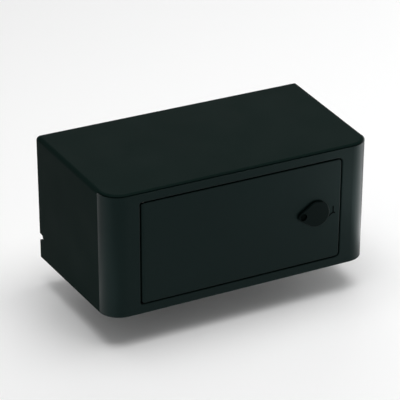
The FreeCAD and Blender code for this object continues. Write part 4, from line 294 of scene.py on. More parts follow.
def wound(name, colour, axis, wire):
    """Enamelled wire laid turn beside turn."""
    finish = Finish(name, colour, 0.3, 1.0)
    turns = finish.waves(1 / wire / 2, axis, 0.6)
    finish.tones(turns, colour, 0.35, 1.1)
    finish.bump(turns, 0.2 * MM, 0.8)
    return finish.material


def painted(name, colour, roughness=0.32):
    """Sprayed enamel with a slight orange peel."""
    finish = Finish(name, colour, roughness)
    finish.tones(finish.noise(20.0, 3.0), colour, 0.85, 1.2)
    finish.bump(finish.noise(420.0, 2.0), 0.05 * MM, 0.4)
    finish.extra(Coat_Weight=0.3, Coat_Roughness=0.15)
    return finish.material


def dress(material, *names):
    """Give CAD nodes a material, in every slot that they have."""
    for name in names:
        mesh = NODES[name].data
        mesh.materials.clear()
        mesh.materials.append(material)


# pieces

def settle(name, mesh_maker, material, body, smooth=True):
    """A new piece from a bmesh, riding on a body."""
    work = bmesh.new()
    mesh_maker(work)
    bmesh.ops.remove_doubles(work, verts=work.verts, dist=WELD)
    bmesh.ops.recalc_face_normals(work, faces=work.faces)
    mesh = bpy.data.meshes.new(name)
    work.to_mesh(mesh)
    work.free()
    for face in mesh.polygons:
        face.use_smooth = smooth
    piece = bpy.data.objects.new(name, mesh)
    bpy.context.scene.collection.objects.link(piece)
    mesh.materials.append(material)
    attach(piece, body)
    return piece


def absorb(work, part):
    """Add a part that was shaped by itself to a piece."""
    mesh = bpy.data.meshes.new("part")
    part.to_mesh(mesh)
    part.free()
    work.from_mesh(mesh)
    bpy.data.meshes.remove(mesh)


def edges_of(verts):
    """Every edge that meets some vertices, once each and in a fixed order."""
    return list(dict.fromkeys(edge for vert in verts for edge in vert.link_edges))


def bevel(work, geometry, offset, segments=3, affect="EDGES"):
    """Round edges or corners."""
    bmesh.ops.bevel(work, geom=geometry, offset=offset, offset_type="OFFSET", segments=segments, profile=0.5,
                    affect=affect, material=-1)


def revolve(work, geometry, centre, axis, steps):
    """Turn a section once round an axis."""
    bmesh.ops.spin(work, geom=geometry, cent=centre, axis=axis, dvec=(0, 0, 0), angle=FULL_TURN, steps=steps,
                   use_merge=True)


def bar(work, low, high, rounding=0.0):
    """A block between two corners, with rounded edges."""
    low, high = Vector(low), Vector(high)
    place = Matrix.Translation((low + high) / 2) @ Matrix.Diagonal((*(high - low), 1))
    made = bmesh.ops.create_cube(work, size=1.0, matrix=place)
    if rounding:
        bevel(work, edges_of(made["verts"]), rounding)


def drum(work, centre, axis, radius, length, segments=32, rounding=0.0):
    """A round bar about its centre, with rounded rims."""
    turn = Vector(axis).to_track_quat("Z", "Y").to_matrix().to_4x4()
    made = bmesh.ops.create_cone(work, cap_ends=True, segments=segments, radius1=radius, radius2=radius,
                                 depth=length, matrix=Matrix.Translation(Vector(centre)) @ turn)
    if rounding:
        rims = [edge for edge in edges_of(made["verts"])
                if any(len(face.verts) > 4 for face in edge.link_faces)]
        bevel(work, rims, rounding)


def facing(work, faces, direction):
    """The largest of some faces that looks along a direction."""
    direction = Vector(direction)
    looking = [face for face in faces if face.is_valid and face.normal.dot(direction) > 0.99]
    return max(looking, key=lambda face: face.calc_area())


def well(work, face, rim, depth):
    """Sink the middle of a face, leaving a rim; the well's walls lean in a little."""
    lean = rim * 0.02
    bmesh.ops.inset_individual(work, faces=[face], thickness=rim, depth=0.0)
    bmesh.ops.inset_individual(work, faces=[face], thickness=lean, depth=-depth)


def screw_head(work, centre, radius, height, slot):
    """A cheese head that looks toward -Y, with a slot across it; the centre is on its seat."""
    centre = Vector(centre)
    outward, segments = Vector((0, -1, 0)), 20
    whole, slotted = height * 0.6, height * 0.5
    drum(work, centre + outward * (whole / 2), -outward, radius, whole, segments)
    for side in (-1, 1):
        half = bmesh.new()
        drum(half, centre + outward * (height - slotted / 2), -outward, radius, slotted, segments)
        geometry = list(half.verts) + list(half.edges) + list(half.faces)
        cut = centre + Vector((side * slot / 2, 0, 0))
        bmesh.ops.bisect_plane(half, geom=geometry, plane_co=cut, plane_no=(-side, 0, 0), clear_outer=True)
        bmesh.ops.holes_fill(half, edges=[edge for edge in half.edges if edge.is_boundary])
        absorb(work, half)


def middle(name):
    """The middle of a CAD node's box."""
    low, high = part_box(name)
    return (Vector(low) + Vector(high)) / 2


class GATE_OT_cover(bpy.types.Operator):
    """Finish the cover, the door, the seal and the flap over the keyhole"""
    bl_idname = "gate.cover"
    bl_label = "Cover and door"

    GREEN_TINT = (0.62, 1.0, 1.0)

    def execute(self, context):
        look = context.scene.gate_cover
        black = tuple(look.colour)
        # the roof and sides take the front's plastic 1.75 times lighter, with far weaker reflections: a
        # lighter copy of the same plastic, as painted sheen on the roof and sides
        shell = moulded("Black shell plastic, lightened as painted sheen", lighter(black, 1.75), look.gloss + 0.1, look.shell_shine,
                        look.grain)
        dress(shell, "cover_shell")
        front = moulded("Black front plastic", black, look.gloss, look.front_shine, look.grain,
                        self.GREEN_TINT)
        dress(front, "front_fascia", "access_door")
        flap = moulded("Black flap plastic", lighter(black, 0.45), look.gloss - 0.04, look.front_shine / 2,
                       look.grain, self.GREEN_TINT)
        dress(flap, "lock_cover")
        # the rivet is the plastic's black halved and almost without reflections: a dark rivet, darkened
        # further as painted shade of the deep recess it sits in
        dress(moulded("Dark rivet with painted recess shade", lighter(black, 0.5), 0.5, 0.01, look.grain), "lock_cover_rivet")
        dress(rubber("Black seal rubber"), "door_seal", "shaft_seal")
        return {"FINISHED"}


class GATE_OT_turn_mark(bpy.types.Operator):
    """Lay a thin near-black strip on the door where the small turning mark is engraved beside the keyhole
    flap, as painted shade of the engraving's groove
    """
    bl_idname = "gate.turn_mark"
    bl_label = "Turning mark"

    # the ends of each stroke, across and up, in mm
    STROKES = (((112.8, 4.1), (113.0, -3.6)), ((113.0, -3.6), (107.1, -7.0)), ((113.0, -3.6), (115.6, -4.8)))
    PROUD = 0.06 * MM
    THICKNESS = 0.24 * MM

    def execute(self, context):
        width = context.scene.gate_cover.mark_width
        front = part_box("access_door")[0][1]

        def shape(work):
            for stroke in self.STROKES:
                start, end = (Vector((across * MM, front, up * MM)) for across, up in stroke)
                side = (end - start).normalized().cross(Vector((0, 1, 0))) * width / 2
                corners = (start - side, start + side, end + side, end - side)
                proud = Vector((0, self.PROUD, 0))
                face = work.faces.new([work.verts.new(corner - proud) for corner in corners])
                grown = bmesh.ops.extrude_face_region(work, geom=[face])
                moved = [item for item in grown["geom"] if isinstance(item, bmesh.types.BMVert)]
                bmesh.ops.translate(work, verts=moved, vec=(0, self.THICKNESS, 0))

        # near-black, matt and without reflections: painted shade of the engraved groove, on a strip that lies
        # just proud of the door's face
        dark = moulded("Painted shade of the mark's groove", (0.0004, 0.0006, 0.0006), 0.8, 0.0)
        settle("turning_mark", shape, dark, "door", smooth=False)
        return {"FINISHED"}


class GATE_OT_metal(bpy.types.Operator):
    """Finish castings, plates, shafts, gears and fasteners"""
    bl_idname = "gate.metal"
    bl_label = "Metal parts"

    SHEET = 1.0 * MM

    def execute(self, context):
        look = context.scene.gate_metal
        steel, zinc, copper = tuple(look.steel), tuple(look.zinc), tuple(look.copper)
        dress(cast_metal("Cast aluminium", tuple(look.casting)), "gearbox_case", "gearbox_lid",
              "motor_flange", "motor_rear_cap")
        dress(plated("Zinc-plated sheet", zinc), "base_plate", "transformer_strap")
        dress(plated("Zinc-plated fasteners", lighter(zinc, 0.9), 0.28), "cap_screws", "frame_screws",
              "small_screws", "gearbox_bolts", "lock_nut", "hinge_pins")
        dress(plated("Nickel-plated lock", (0.62, 0.60, 0.56), 0.22), "lock_barrel", "lock_plug", "lock_cam")
        dress(machined("Ground steel", steel, (900.0, 900.0, 40.0), 0.26), "output_shaft", "lay_shaft",
              "thrust_washer", "release_shaft", "sleeve_key", "clutch_sleeve")
        dress(machined("Cut gear steel", lighter(steel, 0.85), (60.0, 60.0, 1200.0), 0.34), "compound_pinion",
              "lay_gear", "output_gear")
        dress(machined("Polished worm steel", lighter(steel, 1.1), (1200.0, 40.0, 40.0), 0.2), "worm_shaft",
              "worm_bearings")
        dress(machined("Bronze", tuple(look.bronze), (80.0, 80.0, 900.0), 0.34), "worm_wheel", "shaft_bushes")
        dress(painted("Black motor enamel", (0.012, 0.012, 0.013)), "motor_can")
        dress(machined("Ferrite", (0.05, 0.05, 0.055), (70.0, 70.0, 70.0), 0.55), "motor_magnets")
        dress(laminated("Armature sheets", (0.28, 0.28, 0.30), "X", self.SHEET), "armature")
        dress(laminated("Transformer sheets", (0.22, 0.22, 0.23), "X", self.SHEET), "transformer_core")
        dress(machined("Commutator copper", copper, (900.0, 60.0, 60.0), 0.3), "commutator", "fuse_clips")
        dress(wound("Coil under the winding", copper, "Z", look.wire), "transformer_coil")
        dress(moulded("Graphite", (0.02, 0.02, 0.022), 0.5, 0.5, 0.04 * MM), "carbon_brushes")
        fibre = Finish("Gasket fibre", (0.16, 0.12, 0.07), 0.85)
        fibre.colour(fibre.blend(fibre.noise(260.0, 6.0), (0.10, 0.075, 0.045), (0.21, 0.165, 0.10)))
        fibre.bump(fibre.noise(1200.0, 4.0), 0.08 * MM)
        dress(fibre.material, "lid_gasket")
        return {"FINISHED"}


class GATE_OT_electrics(bpy.types.Operator):
    """Finish the control board, switches, gland and small plastic parts"""
    bl_idname = "gate.electrics"
    bl_label = "Electrical parts"

    # long, narrow bricks, whose joints are the tracks under the lacquer
    TRACKS = {"Scale": 160.0, "Mortar_Size": 0.035, "Brick_Width": 3.6, "Row_Height": 0.32,
              "Color1": (0, 0, 0, 1), "Color2": (0.15, 0.15, 0.15, 1), "Mortar": (1, 1, 1, 1)}
    CLEAR = 0.05 * MM

    def execute(self, context):
        look = context.scene.gate_board
        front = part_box("control_board")[1][1] - look.thickness
        board = Finish("Lacquered board", tuple(look.laminate), 0.28)
        upright = board.mapped(Rotation=(math.pi / 2, 0, 0))
        tracks = board.node("TexBrick", Vector=upright, **self.TRACKS).outputs["Color"]
        lacquer = board.blend(tracks, tuple(look.laminate), lighter(look.laminate, 1.8))
        parts = board.below("Y", front - self.CLEAR)
        board.colour(board.blend(parts, lacquer, (0.012, 0.012, 0.013)))
        board.bump(tracks, 0.03 * MM, 0.5)
        dress(board.material, "control_board")
        dress(moulded("Black technical plastic", (0.010, 0.010, 0.011), 0.4), "limit_switches", "relays",
              "gland_body", "gland_nut", "gland_dome", "terminal_blocks", "smoothing_capacitor", "fuse")
        dress(moulded("Off-white plastic", (0.52, 0.52, 0.48), 0.45), "limit_cams", "open_switch_plunger",
              "closed_switch_plunger", "learn_button", "test_button", "board_tray")
        dress(moulded("Red lever plastic", (0.42, 0.025, 0.012), 0.38), "release_lever")
        return {"FINISHED"}


class GATE_OT_terminals(bpy.types.Operator):
    """Screw terminals for the field wiring: a sunk screw in front and a wire mouth below for each pole"""
    bl_idname = "gate.terminals"
    bl_label = "Terminals"

    BLOCKS = 3
    HALF_JOINT = 0.05 * MM
    EDGE = 0.35 * MM
    SCREW_RIM, SCREW_DEPTH = 0.8 * MM, 2.6 * MM
    MOUTH_RIM, MOUTH_DEPTH = 1.0 * MM, 4.0 * MM
    HEAD_RADIUS, HEAD_HEIGHT, HEAD_SLOT = 1.75 * MM, 1.5 * MM, 0.5 * MM

    def execute(self, context):
        board = context.scene.gate_board
        low, high = (Vector(corner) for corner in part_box("terminal_blocks"))
        gap = board.terminal_gap
        width = (high.x - low.x - (self.BLOCKS - 1) * gap) / self.BLOCKS
        pitch = width / board.poles
        reach = pitch / 2 - self.HALF_JOINT
        centres = [low.x + block * (width + gap) + pitch * (pole + 0.5) for block in range(self.BLOCKS)
                   for pole in range(board.poles)]

        def bodies(work):
            for x in centres:
                known = set(work.faces)
                bar(work, (x - reach, low.y, low.z), (x + reach, high.y, high.z), self.EDGE)
                work.normal_update()
                fresh = [face for face in work.faces if face not in known]
                well(work, facing(work, fresh, (0, -1, 0)), self.SCREW_RIM, self.SCREW_DEPTH)
                well(work, facing(work, fresh, (0, 0, -1)), self.MOUTH_RIM, self.MOUTH_DEPTH)

        def screws(work):
            for x in centres:
                seat = (x, low.y + self.SCREW_DEPTH, middle("terminal_blocks").z)
                screw_head(work, seat, self.HEAD_RADIUS, self.HEAD_HEIGHT, self.HEAD_SLOT)

        green = moulded("Green terminal plastic", tuple(board.terminal_colour), 0.42)
        blocks = settle("screw_terminals", bodies, green, "frame", smooth=False)
        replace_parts(blocks, "terminal_blocks")
        zinc = plated("Terminal screw zinc", (0.62, 0.62, 0.60), 0.3)
        settle("terminal_screws", screws, zinc, "frame", smooth=False)
        return {"FINISHED"}


class GATE_OT_relays(bpy.types.Operator):
    """Relay cases with rounded edges, a stepped lid and the stub of the filling hole"""
    bl_idname = "gate.relays"
    bl_label = "Relays"

    GAP = 3.0 * MM
    SHOULDER, EDGE = 0.6 * MM, 0.5 * MM
    LID_FRONT, LID_BACK, LID_INSET, LID_EDGE = 0.2 * MM, 1.4 * MM, 0.7 * MM, 0.3 * MM
    STUB_INSET, STUB_DEPTH = 3.0 * MM, 0.4 * MM
    STUB_RADIUS, STUB_LENGTH, STUB_EDGE = 0.7 * MM, 0.8 * MM, 0.1 * MM

    def execute(self, context):
        low, high = (Vector(corner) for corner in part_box("relays"))
        width = (high.x - low.x - self.GAP) / 2

        def cases(work):
            for left in (low.x, low.x + width + self.GAP):
                right = left + width
                bar(work, (left, low.y + self.SHOULDER, low.z), (right, high.y, high.z), self.EDGE)
                bar(work, (left + self.LID_INSET, low.y + self.LID_FRONT, low.z + self.LID_INSET),
                    (right - self.LID_INSET, low.y + self.LID_BACK, high.z - self.LID_INSET), self.LID_EDGE)
                stub = (right - self.STUB_INSET, low.y + self.STUB_DEPTH, high.z - self.STUB_INSET)
                drum(work, stub, (0, 1, 0), self.STUB_RADIUS, self.STUB_LENGTH, 16, self.STUB_EDGE)

        case = moulded("Black relay plastic", (0.014, 0.014, 0.015), 0.33)
        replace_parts(settle("relay_cases", cases, case, "frame", smooth=False), "relays")
        return {"FINISHED"}


class GATE_OT_capacitor(bpy.types.Operator):
    """Smoothing capacitor: shrunk sleeve over a rolled shoulder, bare scored top"""
    bl_idname = "gate.capacitor"
    bl_label = "Capacitor"

    # the sleeve's outline from the board to its front: shares of its length and of its radius
    OUTLINE = ((0.0, 0.88), (0.0, 1.0), (-0.86, 1.0), (-0.90, 0.955), (-0.94, 1.0), (-0.975, 1.0),
               (-0.995, 0.95), (-1.0, 0.86), (-0.99, 0.84))
    STEPS = 40
    TOP_DEPTH, TOP_SHARE, TOP_THICKNESS, TOP_EDGE = 0.35 * MM, 0.85, 0.5 * MM, 0.1 * MM
    SCORE_LENGTH, SCORE_WIDTH, SCORE_FRONT, SCORE_BACK = 0.6, 0.036, 0.02 * MM, 0.2 * MM

    def execute(self, context):
        low, high = (Vector(corner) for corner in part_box("smoothing_capacitor"))
        centre = middle("smoothing_capacitor")
        radius = (high.x - low.x) / 2
        reach = high.y - low.y

        def sleeve(work):
            start = Vector((centre.x, high.y, centre.z))
            verts = [work.verts.new(start + Vector((radius * wide, reach * deep, 0)))
                     for deep, wide in self.OUTLINE]
            edges = [work.edges.new(pair) for pair in zip(verts, verts[1:])]
            revolve(work, verts + edges, centre, (0, 1, 0), self.STEPS)
            bmesh.ops.holes_fill(work, edges=[edge for edge in work.edges if edge.is_boundary])

        def top(work):
            drum(work, (centre.x, low.y + self.TOP_DEPTH, centre.z), (0, 1, 0), radius * self.TOP_SHARE,
                 self.TOP_THICKNESS, self.STEPS, self.TOP_EDGE)
            long, short = radius * self.SCORE_LENGTH, radius * self.SCORE_WIDTH
            for across, up in ((long, short), (short, long)):
                bar(work, (centre.x - across, low.y + self.SCORE_FRONT, centre.z - up),
                    (centre.x + across, low.y + self.SCORE_BACK, centre.z + up))

        blue = painted("Capacitor sleeve", (0.010, 0.020, 0.085), 0.26)
        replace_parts(settle("capacitor_sleeve", sleeve, blue, "frame"),
                    "smoothing_capacitor")
        bare = machined("Bare can top", (0.72, 0.73, 0.74), (300.0, 40.0, 300.0), 0.3)
        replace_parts(settle("capacitor_top", top, bare, "frame", smooth=False),
                    "smoothing_capacitor")
        return {"FINISHED"}


class GATE_OT_fuse(bpy.types.Operator):
    """Glass tube fuse with its two caps and the wire inside"""
    bl_idname = "gate.fuse"
    bl_label = "Fuse"

    CAP, CAP_EDGE = 5.2 * MM, 0.35 * MM
    WIRE_RADIUS, WIRE_IN_CAPS = 0.09 * MM, 1.0 * MM
    TUBE_SHARE, TUBE_IN_CAPS = 0.92, 0.4 * MM
    SEGMENTS = 28

    def execute(self, context):
        low, high = (Vector(corner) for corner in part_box("fuse"))
        centre = middle("fuse")
        radius = (high.z - low.z) / 2
        open_length = high.x - low.x - 2 * self.CAP

        def caps(work):
            for end, inward in ((low.x, 1), (high.x, -1)):
                drum(work, (end + inward * self.CAP / 2, centre.y, centre.z), (1, 0, 0), radius, self.CAP,
                     self.SEGMENTS, self.CAP_EDGE)
            drum(work, centre, (1, 0, 0), self.WIRE_RADIUS, open_length + self.WIRE_IN_CAPS, 8)

        def tube(work):
            drum(work, centre, (1, 0, 0), radius * self.TUBE_SHARE, open_length + self.TUBE_IN_CAPS,
                 self.SEGMENTS)

        glass = Finish("Fuse glass", (0.93, 0.96, 0.96), 0.03)
        glass.extra(Transmission_Weight=0.92, IOR=1.2)
        glass.rough(glass.noise(300.0, 2.0), 0.02, 0.07)
        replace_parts(settle("fuse_tube", tube, glass.material, "frame"), "fuse")
        nickel = plated("Fuse cap nickel", (0.66, 0.65, 0.62), 0.2)
        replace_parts(settle("fuse_caps", caps, nickel, "frame"), "fuse")
        return {"FINISHED"}


class GATE_OT_board_parts(bpy.types.Operator):
    """Solder-on parts: processor legs, resistors, diodes, a small can and the signal lamps"""
    bl_idname = "gate.board_parts"
    bl_label = "Board parts"

    # places on the board, across and up from its lower left corner, in mm
    PROCESSOR = (17, 64)
    RESISTORS = ((14, 50.5), (18, 50.5), (22, 50.5), (26, 50.5), (52, 43), (56, 43), (60, 43), (14, 46),
                 (18, 46))
    DIODES = ((44, 70), (44, 74), (44, 64))
    CAN = (38, 80)
    LAMPS = (((40, 92), "green"), ((46, 92), "red"), ((52, 92), "red"))
    LENSES = (("green", (0.05, 0.55, 0.12)), ("red", (0.62, 0.04, 0.03)))

    # how deep the soldered parts dip into the board
    SUNK = 0.02 * MM
    PROCESSOR_SIDE = 14.0 * MM
    # a leg and its foot start and end this far outside the processor's edge
    LEG_START, LEG_END, FOOT_START, FOOT_END = -0.2 * MM, 0.9 * MM, 0.7 * MM, 1.5 * MM
    LEG_HALF_WIDTH, LEG_TOP, LEG_UNDERSIDE = 0.2 * MM, 0.9 * MM, 0.65 * MM
    # a resistor's soldered ends
    END_PLACE, END_HALF_LENGTH, END_HALF_WIDTH = 1.35 * MM, 0.25 * MM, 0.7 * MM
    END_HEIGHT, END_EDGE = 0.62 * MM, 0.08 * MM
    RESISTOR_HALF_WIDTH, RESISTOR_HALF_LENGTH = 0.75 * MM, 1.2 * MM
    RESISTOR_HEIGHT, RESISTOR_EDGE = 0.6 * MM, 0.06 * MM
    DIODE_RADIUS, DIODE_LENGTH, DIODE_EDGE = 1.2 * MM, 4.2 * MM, 0.25 * MM
    # the ring that marks a diode's cathode
    RING_PLACE, RING_RADIUS, RING_LENGTH = 1.3 * MM, 1.23 * MM, 0.6 * MM
    LEAD_RADIUS, LEAD_LENGTH = 0.35 * MM, 7.4 * MM
    LEAD_SIDE, LEAD_DEPTH, LEAD_DROP = 3.6 * MM, 0.6 * MM, 1.3 * MM
    CAN_RADIUS, CAN_HEIGHT, CAN_EDGE = 2.2 * MM, 3.2 * MM, 0.3 * MM
    DOME_RADIUS, DOME_HEIGHT, DOME_EDGE = 1.45 * MM, 2.6 * MM, 0.9 * MM
    COLLAR_RADIUS, COLLAR_HEIGHT, COLLAR_EDGE = 1.75 * MM, 0.6 * MM, 0.1 * MM

    def execute(self, context):
        board = context.scene.gate_board
        low, high = (Vector(corner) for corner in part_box("control_board"))
        left, bottom = low.x, low.z
        front = high.y - board.thickness
        wide, deep = (1, 0, 0), (0, 1, 0)

        def at(across, up):
            """A place on the board, in metres."""
            return left + across * MM, bottom + up * MM

        def block(work, x, z, half_width, half_length, top, underside, rounding=0.0):
            """A block about a place on the board, between two heights over it."""
            bar(work, (x - half_width, front - top, z - half_length),
                (x + half_width, front - underside, z + half_length), rounding)

        def legs(work):
            x, z = at(*self.PROCESSOR)
            edge = self.PROCESSOR_SIDE / 2
            pitch = self.PROCESSOR_SIDE / (board.pins + 1)
            for i in range(board.pins):
                pin = x - edge + pitch * (i + 1)
                for side in (-1, 1):
                    for start, end, underside in ((self.LEG_START, self.LEG_END, self.LEG_UNDERSIDE),
                                                  (self.FOOT_START, self.FOOT_END, -self.SUNK)):
                        block(work, pin, z + side * (edge + (start + end) / 2), self.LEG_HALF_WIDTH,
                              (end - start) / 2, self.LEG_TOP, underside)
            for spot in self.RESISTORS:
                x, z = at(*spot)
                for side in (-1, 1):
                    block(work, x, z + side * self.END_PLACE, self.END_HALF_WIDTH, self.END_HALF_LENGTH,
                          self.END_HEIGHT, -self.SUNK, self.END_EDGE)

        def bodies(work):
            for spot in self.RESISTORS:
                block(work, *at(*spot), self.RESISTOR_HALF_WIDTH, self.RESISTOR_HALF_LENGTH,
                      self.RESISTOR_HEIGHT, -self.SUNK, self.RESISTOR_EDGE)
            for spot in self.DIODES:
                x, z = at(*spot)
                drum(work, (x, front - self.DIODE_RADIUS, z), wide, self.DIODE_RADIUS, self.DIODE_LENGTH, 20,
                     self.DIODE_EDGE)

        def leads(work):
            for spot in self.DIODES:
                x, z = at(*spot)
                level = front - self.DIODE_RADIUS
                drum(work, (x, level, z), wide, self.LEAD_RADIUS, self.LEAD_LENGTH, 10)
                for side in (-1, 1):
                    drum(work, (x + side * self.LEAD_SIDE, front - self.LEAD_DEPTH, z), deep,
                         self.LEAD_RADIUS, self.LEAD_DROP, 10)
                drum(work, (x + self.RING_PLACE, level, z), wide, self.RING_RADIUS, self.RING_LENGTH, 20)
            x, z = at(*self.CAN)
            drum(work, (x, front - self.CAN_HEIGHT / 2, z), deep, self.CAN_RADIUS, self.CAN_HEIGHT, 24,
                 self.CAN_EDGE)

        tinned = plated("Tinned legs", (0.66, 0.66, 0.66), 0.24)
        settle("solder_legs", legs, tinned, "frame", smooth=False)
        ceramic = moulded("Chip ceramic", (0.016, 0.016, 0.018), 0.4)
        settle("chip_parts", bodies, ceramic, "frame")
        wire = plated("Lead wire tin", (0.62, 0.62, 0.62), 0.28)
        settle("diode_leads", leads, wire, "frame")
        for tone, colour in self.LENSES:
            def domes(work):
                for spot, kind in self.LAMPS:
                    if kind == tone:
                        x, z = at(*spot)
                        drum(work, (x, front - self.DOME_HEIGHT / 2, z), deep, self.DOME_RADIUS,
                             self.DOME_HEIGHT, 24, self.DOME_EDGE)
                        drum(work, (x, front - self.COLLAR_HEIGHT / 2, z), deep, self.COLLAR_RADIUS,
                             self.COLLAR_HEIGHT, 24, self.COLLAR_EDGE)
            lens = Finish("Lamp lens " + tone, colour, 0.18)
            lens.tones(lens.noise(900.0, 2.0), colour, 0.85, 1.1)
            lens.extra(Transmission_Weight=0.35)
            settle("signal_lamps_" + tone, domes, lens.material, "frame")
        return {"FINISHED"}


class GATE_OT_windings(bpy.types.Operator):
    """The transformer's wound coil on its bobbin, and the armature's end turns"""
    bl_idname = "gate.windings"
    bl_label = "Windings"

    CHEEK, CHEEK_CORNER = 1.3 * MM, 1.5 * MM
    COIL_INSET, COIL_CORNER = 1.2 * MM, 3.5 * MM
    WALL = 6.0 * MM
    BULGE = 1.012
    # the rings of end turns beside the armature's stack and beside its commutator
    RING_GAP, STACK_RING, COMMUTATOR_RING = 0.1 * MM, 6.5 * MM, 2.7 * MM
    RING_INNER, RING_OUTER, RING_EDGE, RING_STEPS = 7.5 * MM, 15.5 * MM, 1.2 * MM, 60
    # the section that is turned into a ring lies this far beside the axis
    SECTION_SIDE = 0.4 * MM
    # the armature's wire, as a share of the transformer's
    THIN_WIRE = 0.6

    def execute(self, context):
        metal = context.scene.gate_metal
        low, high = (Vector(corner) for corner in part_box("transformer_coil"))
        centre = middle("transformer_coil")
        wire = metal.wire

        def rounded(work, margin, floor, corner):
            """A level outline with rounded corners, as one face that looks up and one that looks down."""
            spots = [(low.x + margin, low.y + margin), (high.x - margin, low.y + margin),
                     (high.x - margin, high.y - margin), (low.x + margin, high.y - margin)]
            ring = [work.verts.new((x, y, floor)) for x, y in spots]
            work.faces.new(ring)
            bevel(work, ring, corner, segments=4, affect="VERTICES")
            work.normal_update()
            bottom = work.faces[:][0].copy()
            bottom.normal_flip()

        def hollow(work):
            """Open a tube down the middle of a closed stack, from its top face to its bottom face."""
            bmesh.ops.remove_doubles(work, verts=work.verts, dist=WELD)
            work.normal_update()
            mouths = [facing(work, work.faces, (0, 0, 1)), facing(work, work.faces, (0, 0, -1))]
            for mouth in mouths:
                bmesh.ops.inset_individual(work, faces=[mouth], thickness=self.WALL, depth=0.0)
            rims = [edge for mouth in mouths for edge in mouth.edges]
            bmesh.ops.delete(work, geom=mouths, context="FACES_ONLY")
            bmesh.ops.bridge_loops(work, edges=rims)

        def grow(work, rise, factor):
            """Raise the top face as one more step of the stack, wider or narrower than the last."""
            work.normal_update()
            top = facing(work, work.faces, (0, 0, 1))
            made = bmesh.ops.extrude_discrete_faces(work, faces=[top])["faces"]
            corners = list(made[0].verts)
            bmesh.ops.translate(work, verts=corners, vec=(0, 0, rise))
            bmesh.ops.scale(work, verts=corners, vec=(factor, factor, 1), space=Matrix.Translation(-centre))

        def coil(work):
            rounded(work, self.COIL_INSET, low.z + self.CHEEK, self.COIL_CORNER)
            height = high.z - low.z - 2 * self.CHEEK
            turns = round(height / wire)
            for _ in range(turns):
                for share, factor in ((0.25, self.BULGE), (0.5, 1.0), (0.25, 1 / self.BULGE)):
                    grow(work, height / turns * share, factor)
            hollow(work)

        def bobbin(work):
            for floor in (low.z, high.z - self.CHEEK):
                flange = bmesh.new()
                rounded(flange, 0.0, floor, self.CHEEK_CORNER)
                grow(flange, self.CHEEK, 1.0)
                hollow(flange)
                absorb(work, flange)

        copper = wound("Copper winding", tuple(metal.copper), "Z", wire)
        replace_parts(settle("coil_turns", coil, copper, "frame", smooth=False), "transformer_coil")
        nylon = moulded("Bobbin nylon", (0.030, 0.030, 0.032), 0.42)
        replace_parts(settle("coil_bobbin", bobbin, nylon, "frame", smooth=False),
                    "transformer_coil")

        spindle = middle("armature")
        stack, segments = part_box("armature"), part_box("commutator")

        def ends(work):
            for after, length in ((stack[1][0], self.STACK_RING), (segments[1][0], self.COMMUTATOR_RING)):
                start = after + self.RING_GAP
                bundle = bmesh.new()
                bar(bundle, (start, -self.SECTION_SIDE, self.RING_INNER),
                    (start + length, self.SECTION_SIDE, self.RING_OUTER))
                section = facing(bundle, bundle.faces, (0, 1, 0))
                others = [face for face in bundle.faces if face is not section]
                bmesh.ops.delete(bundle, geom=others, context="FACES")
                bevel(bundle, list(section.verts), self.RING_EDGE, affect="VERTICES")
                rim = list(bundle.edges)
                bmesh.ops.delete(bundle, geom=list(bundle.faces), context="FACES_ONLY")
                revolve(bundle, list(bundle.verts) + rim, (0, 0, 0), (1, 0, 0), self.RING_STEPS)
                bmesh.ops.translate(bundle, verts=bundle.verts, vec=(0, spindle.y, spindle.z))
                absorb(work, bundle)

        thin = wound("Armature wire", tuple(metal.copper), "X", wire * self.THIN_WIRE)
        settle("armature_end_turns", ends, thin, "rotor")
        return {"FINISHED"}


class GATE_OT_gland(bpy.types.Operator):
    """The gland's fluted clamping dome"""
    bl_idname = "gate.gland"
    bl_label = "Cable gland"

    BORE = 5.0 * MM
    # the dome's outside from its straight skirt to its mouth: shares of its radius and heights
    CURVE = ((1.0, 4.2 * MM), (0.965, 2.4 * MM), (0.86, 0.9 * MM), (0.68, 0.1 * MM))
    MOUTH = 0.4 * MM
    STEPS = 72
    FLUTE_PITCH, FLUTE_HALF = 15, 2
    FLUTE_START, FLUTE_SHARE = 3.0 * MM, 0.945

    def execute(self, context):
        low, high = (Vector(corner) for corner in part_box("gland_dome"))
        centre = middle("gland_dome")
        outer = (high.x - low.x) / 2
        curve = [(outer * share, low.z + height) for share, height in self.CURVE]
        outline = [(self.BORE, high.z), (outer, high.z), *curve, (self.BORE + self.MOUTH, low.z),
                   (self.BORE, low.z + self.MOUTH)]

        def dome(work):
            verts = [work.verts.new((centre.x + across, centre.y, height)) for across, height in outline]
            edges = [work.edges.new((verts[i - 1], verts[i])) for i in range(len(verts))]
            revolve(work, verts + edges, centre, (0, 0, 1), self.STEPS)
            grooves = []
            for vert in work.verts:
                across = vert.co - centre
                turn = math.degrees(math.atan2(across.y, across.x)) % self.FLUTE_PITCH
                outside = math.hypot(across.x, across.y) > outer * 0.95
                fluted = min(turn, self.FLUTE_PITCH - turn) < self.FLUTE_HALF
                if outside and fluted and vert.co.z > low.z + self.FLUTE_START:
                    grooves.append(vert)
            bmesh.ops.scale(work, verts=grooves, vec=(self.FLUTE_SHARE, self.FLUTE_SHARE, 1),
                            space=Matrix.Translation(-centre))

        nylon = moulded("Gland nylon", (0.012, 0.012, 0.013), 0.45)
        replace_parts(settle("gland_cap", dome, nylon, "frame", smooth=False), "gland_dome")
        return {"FINISHED"}


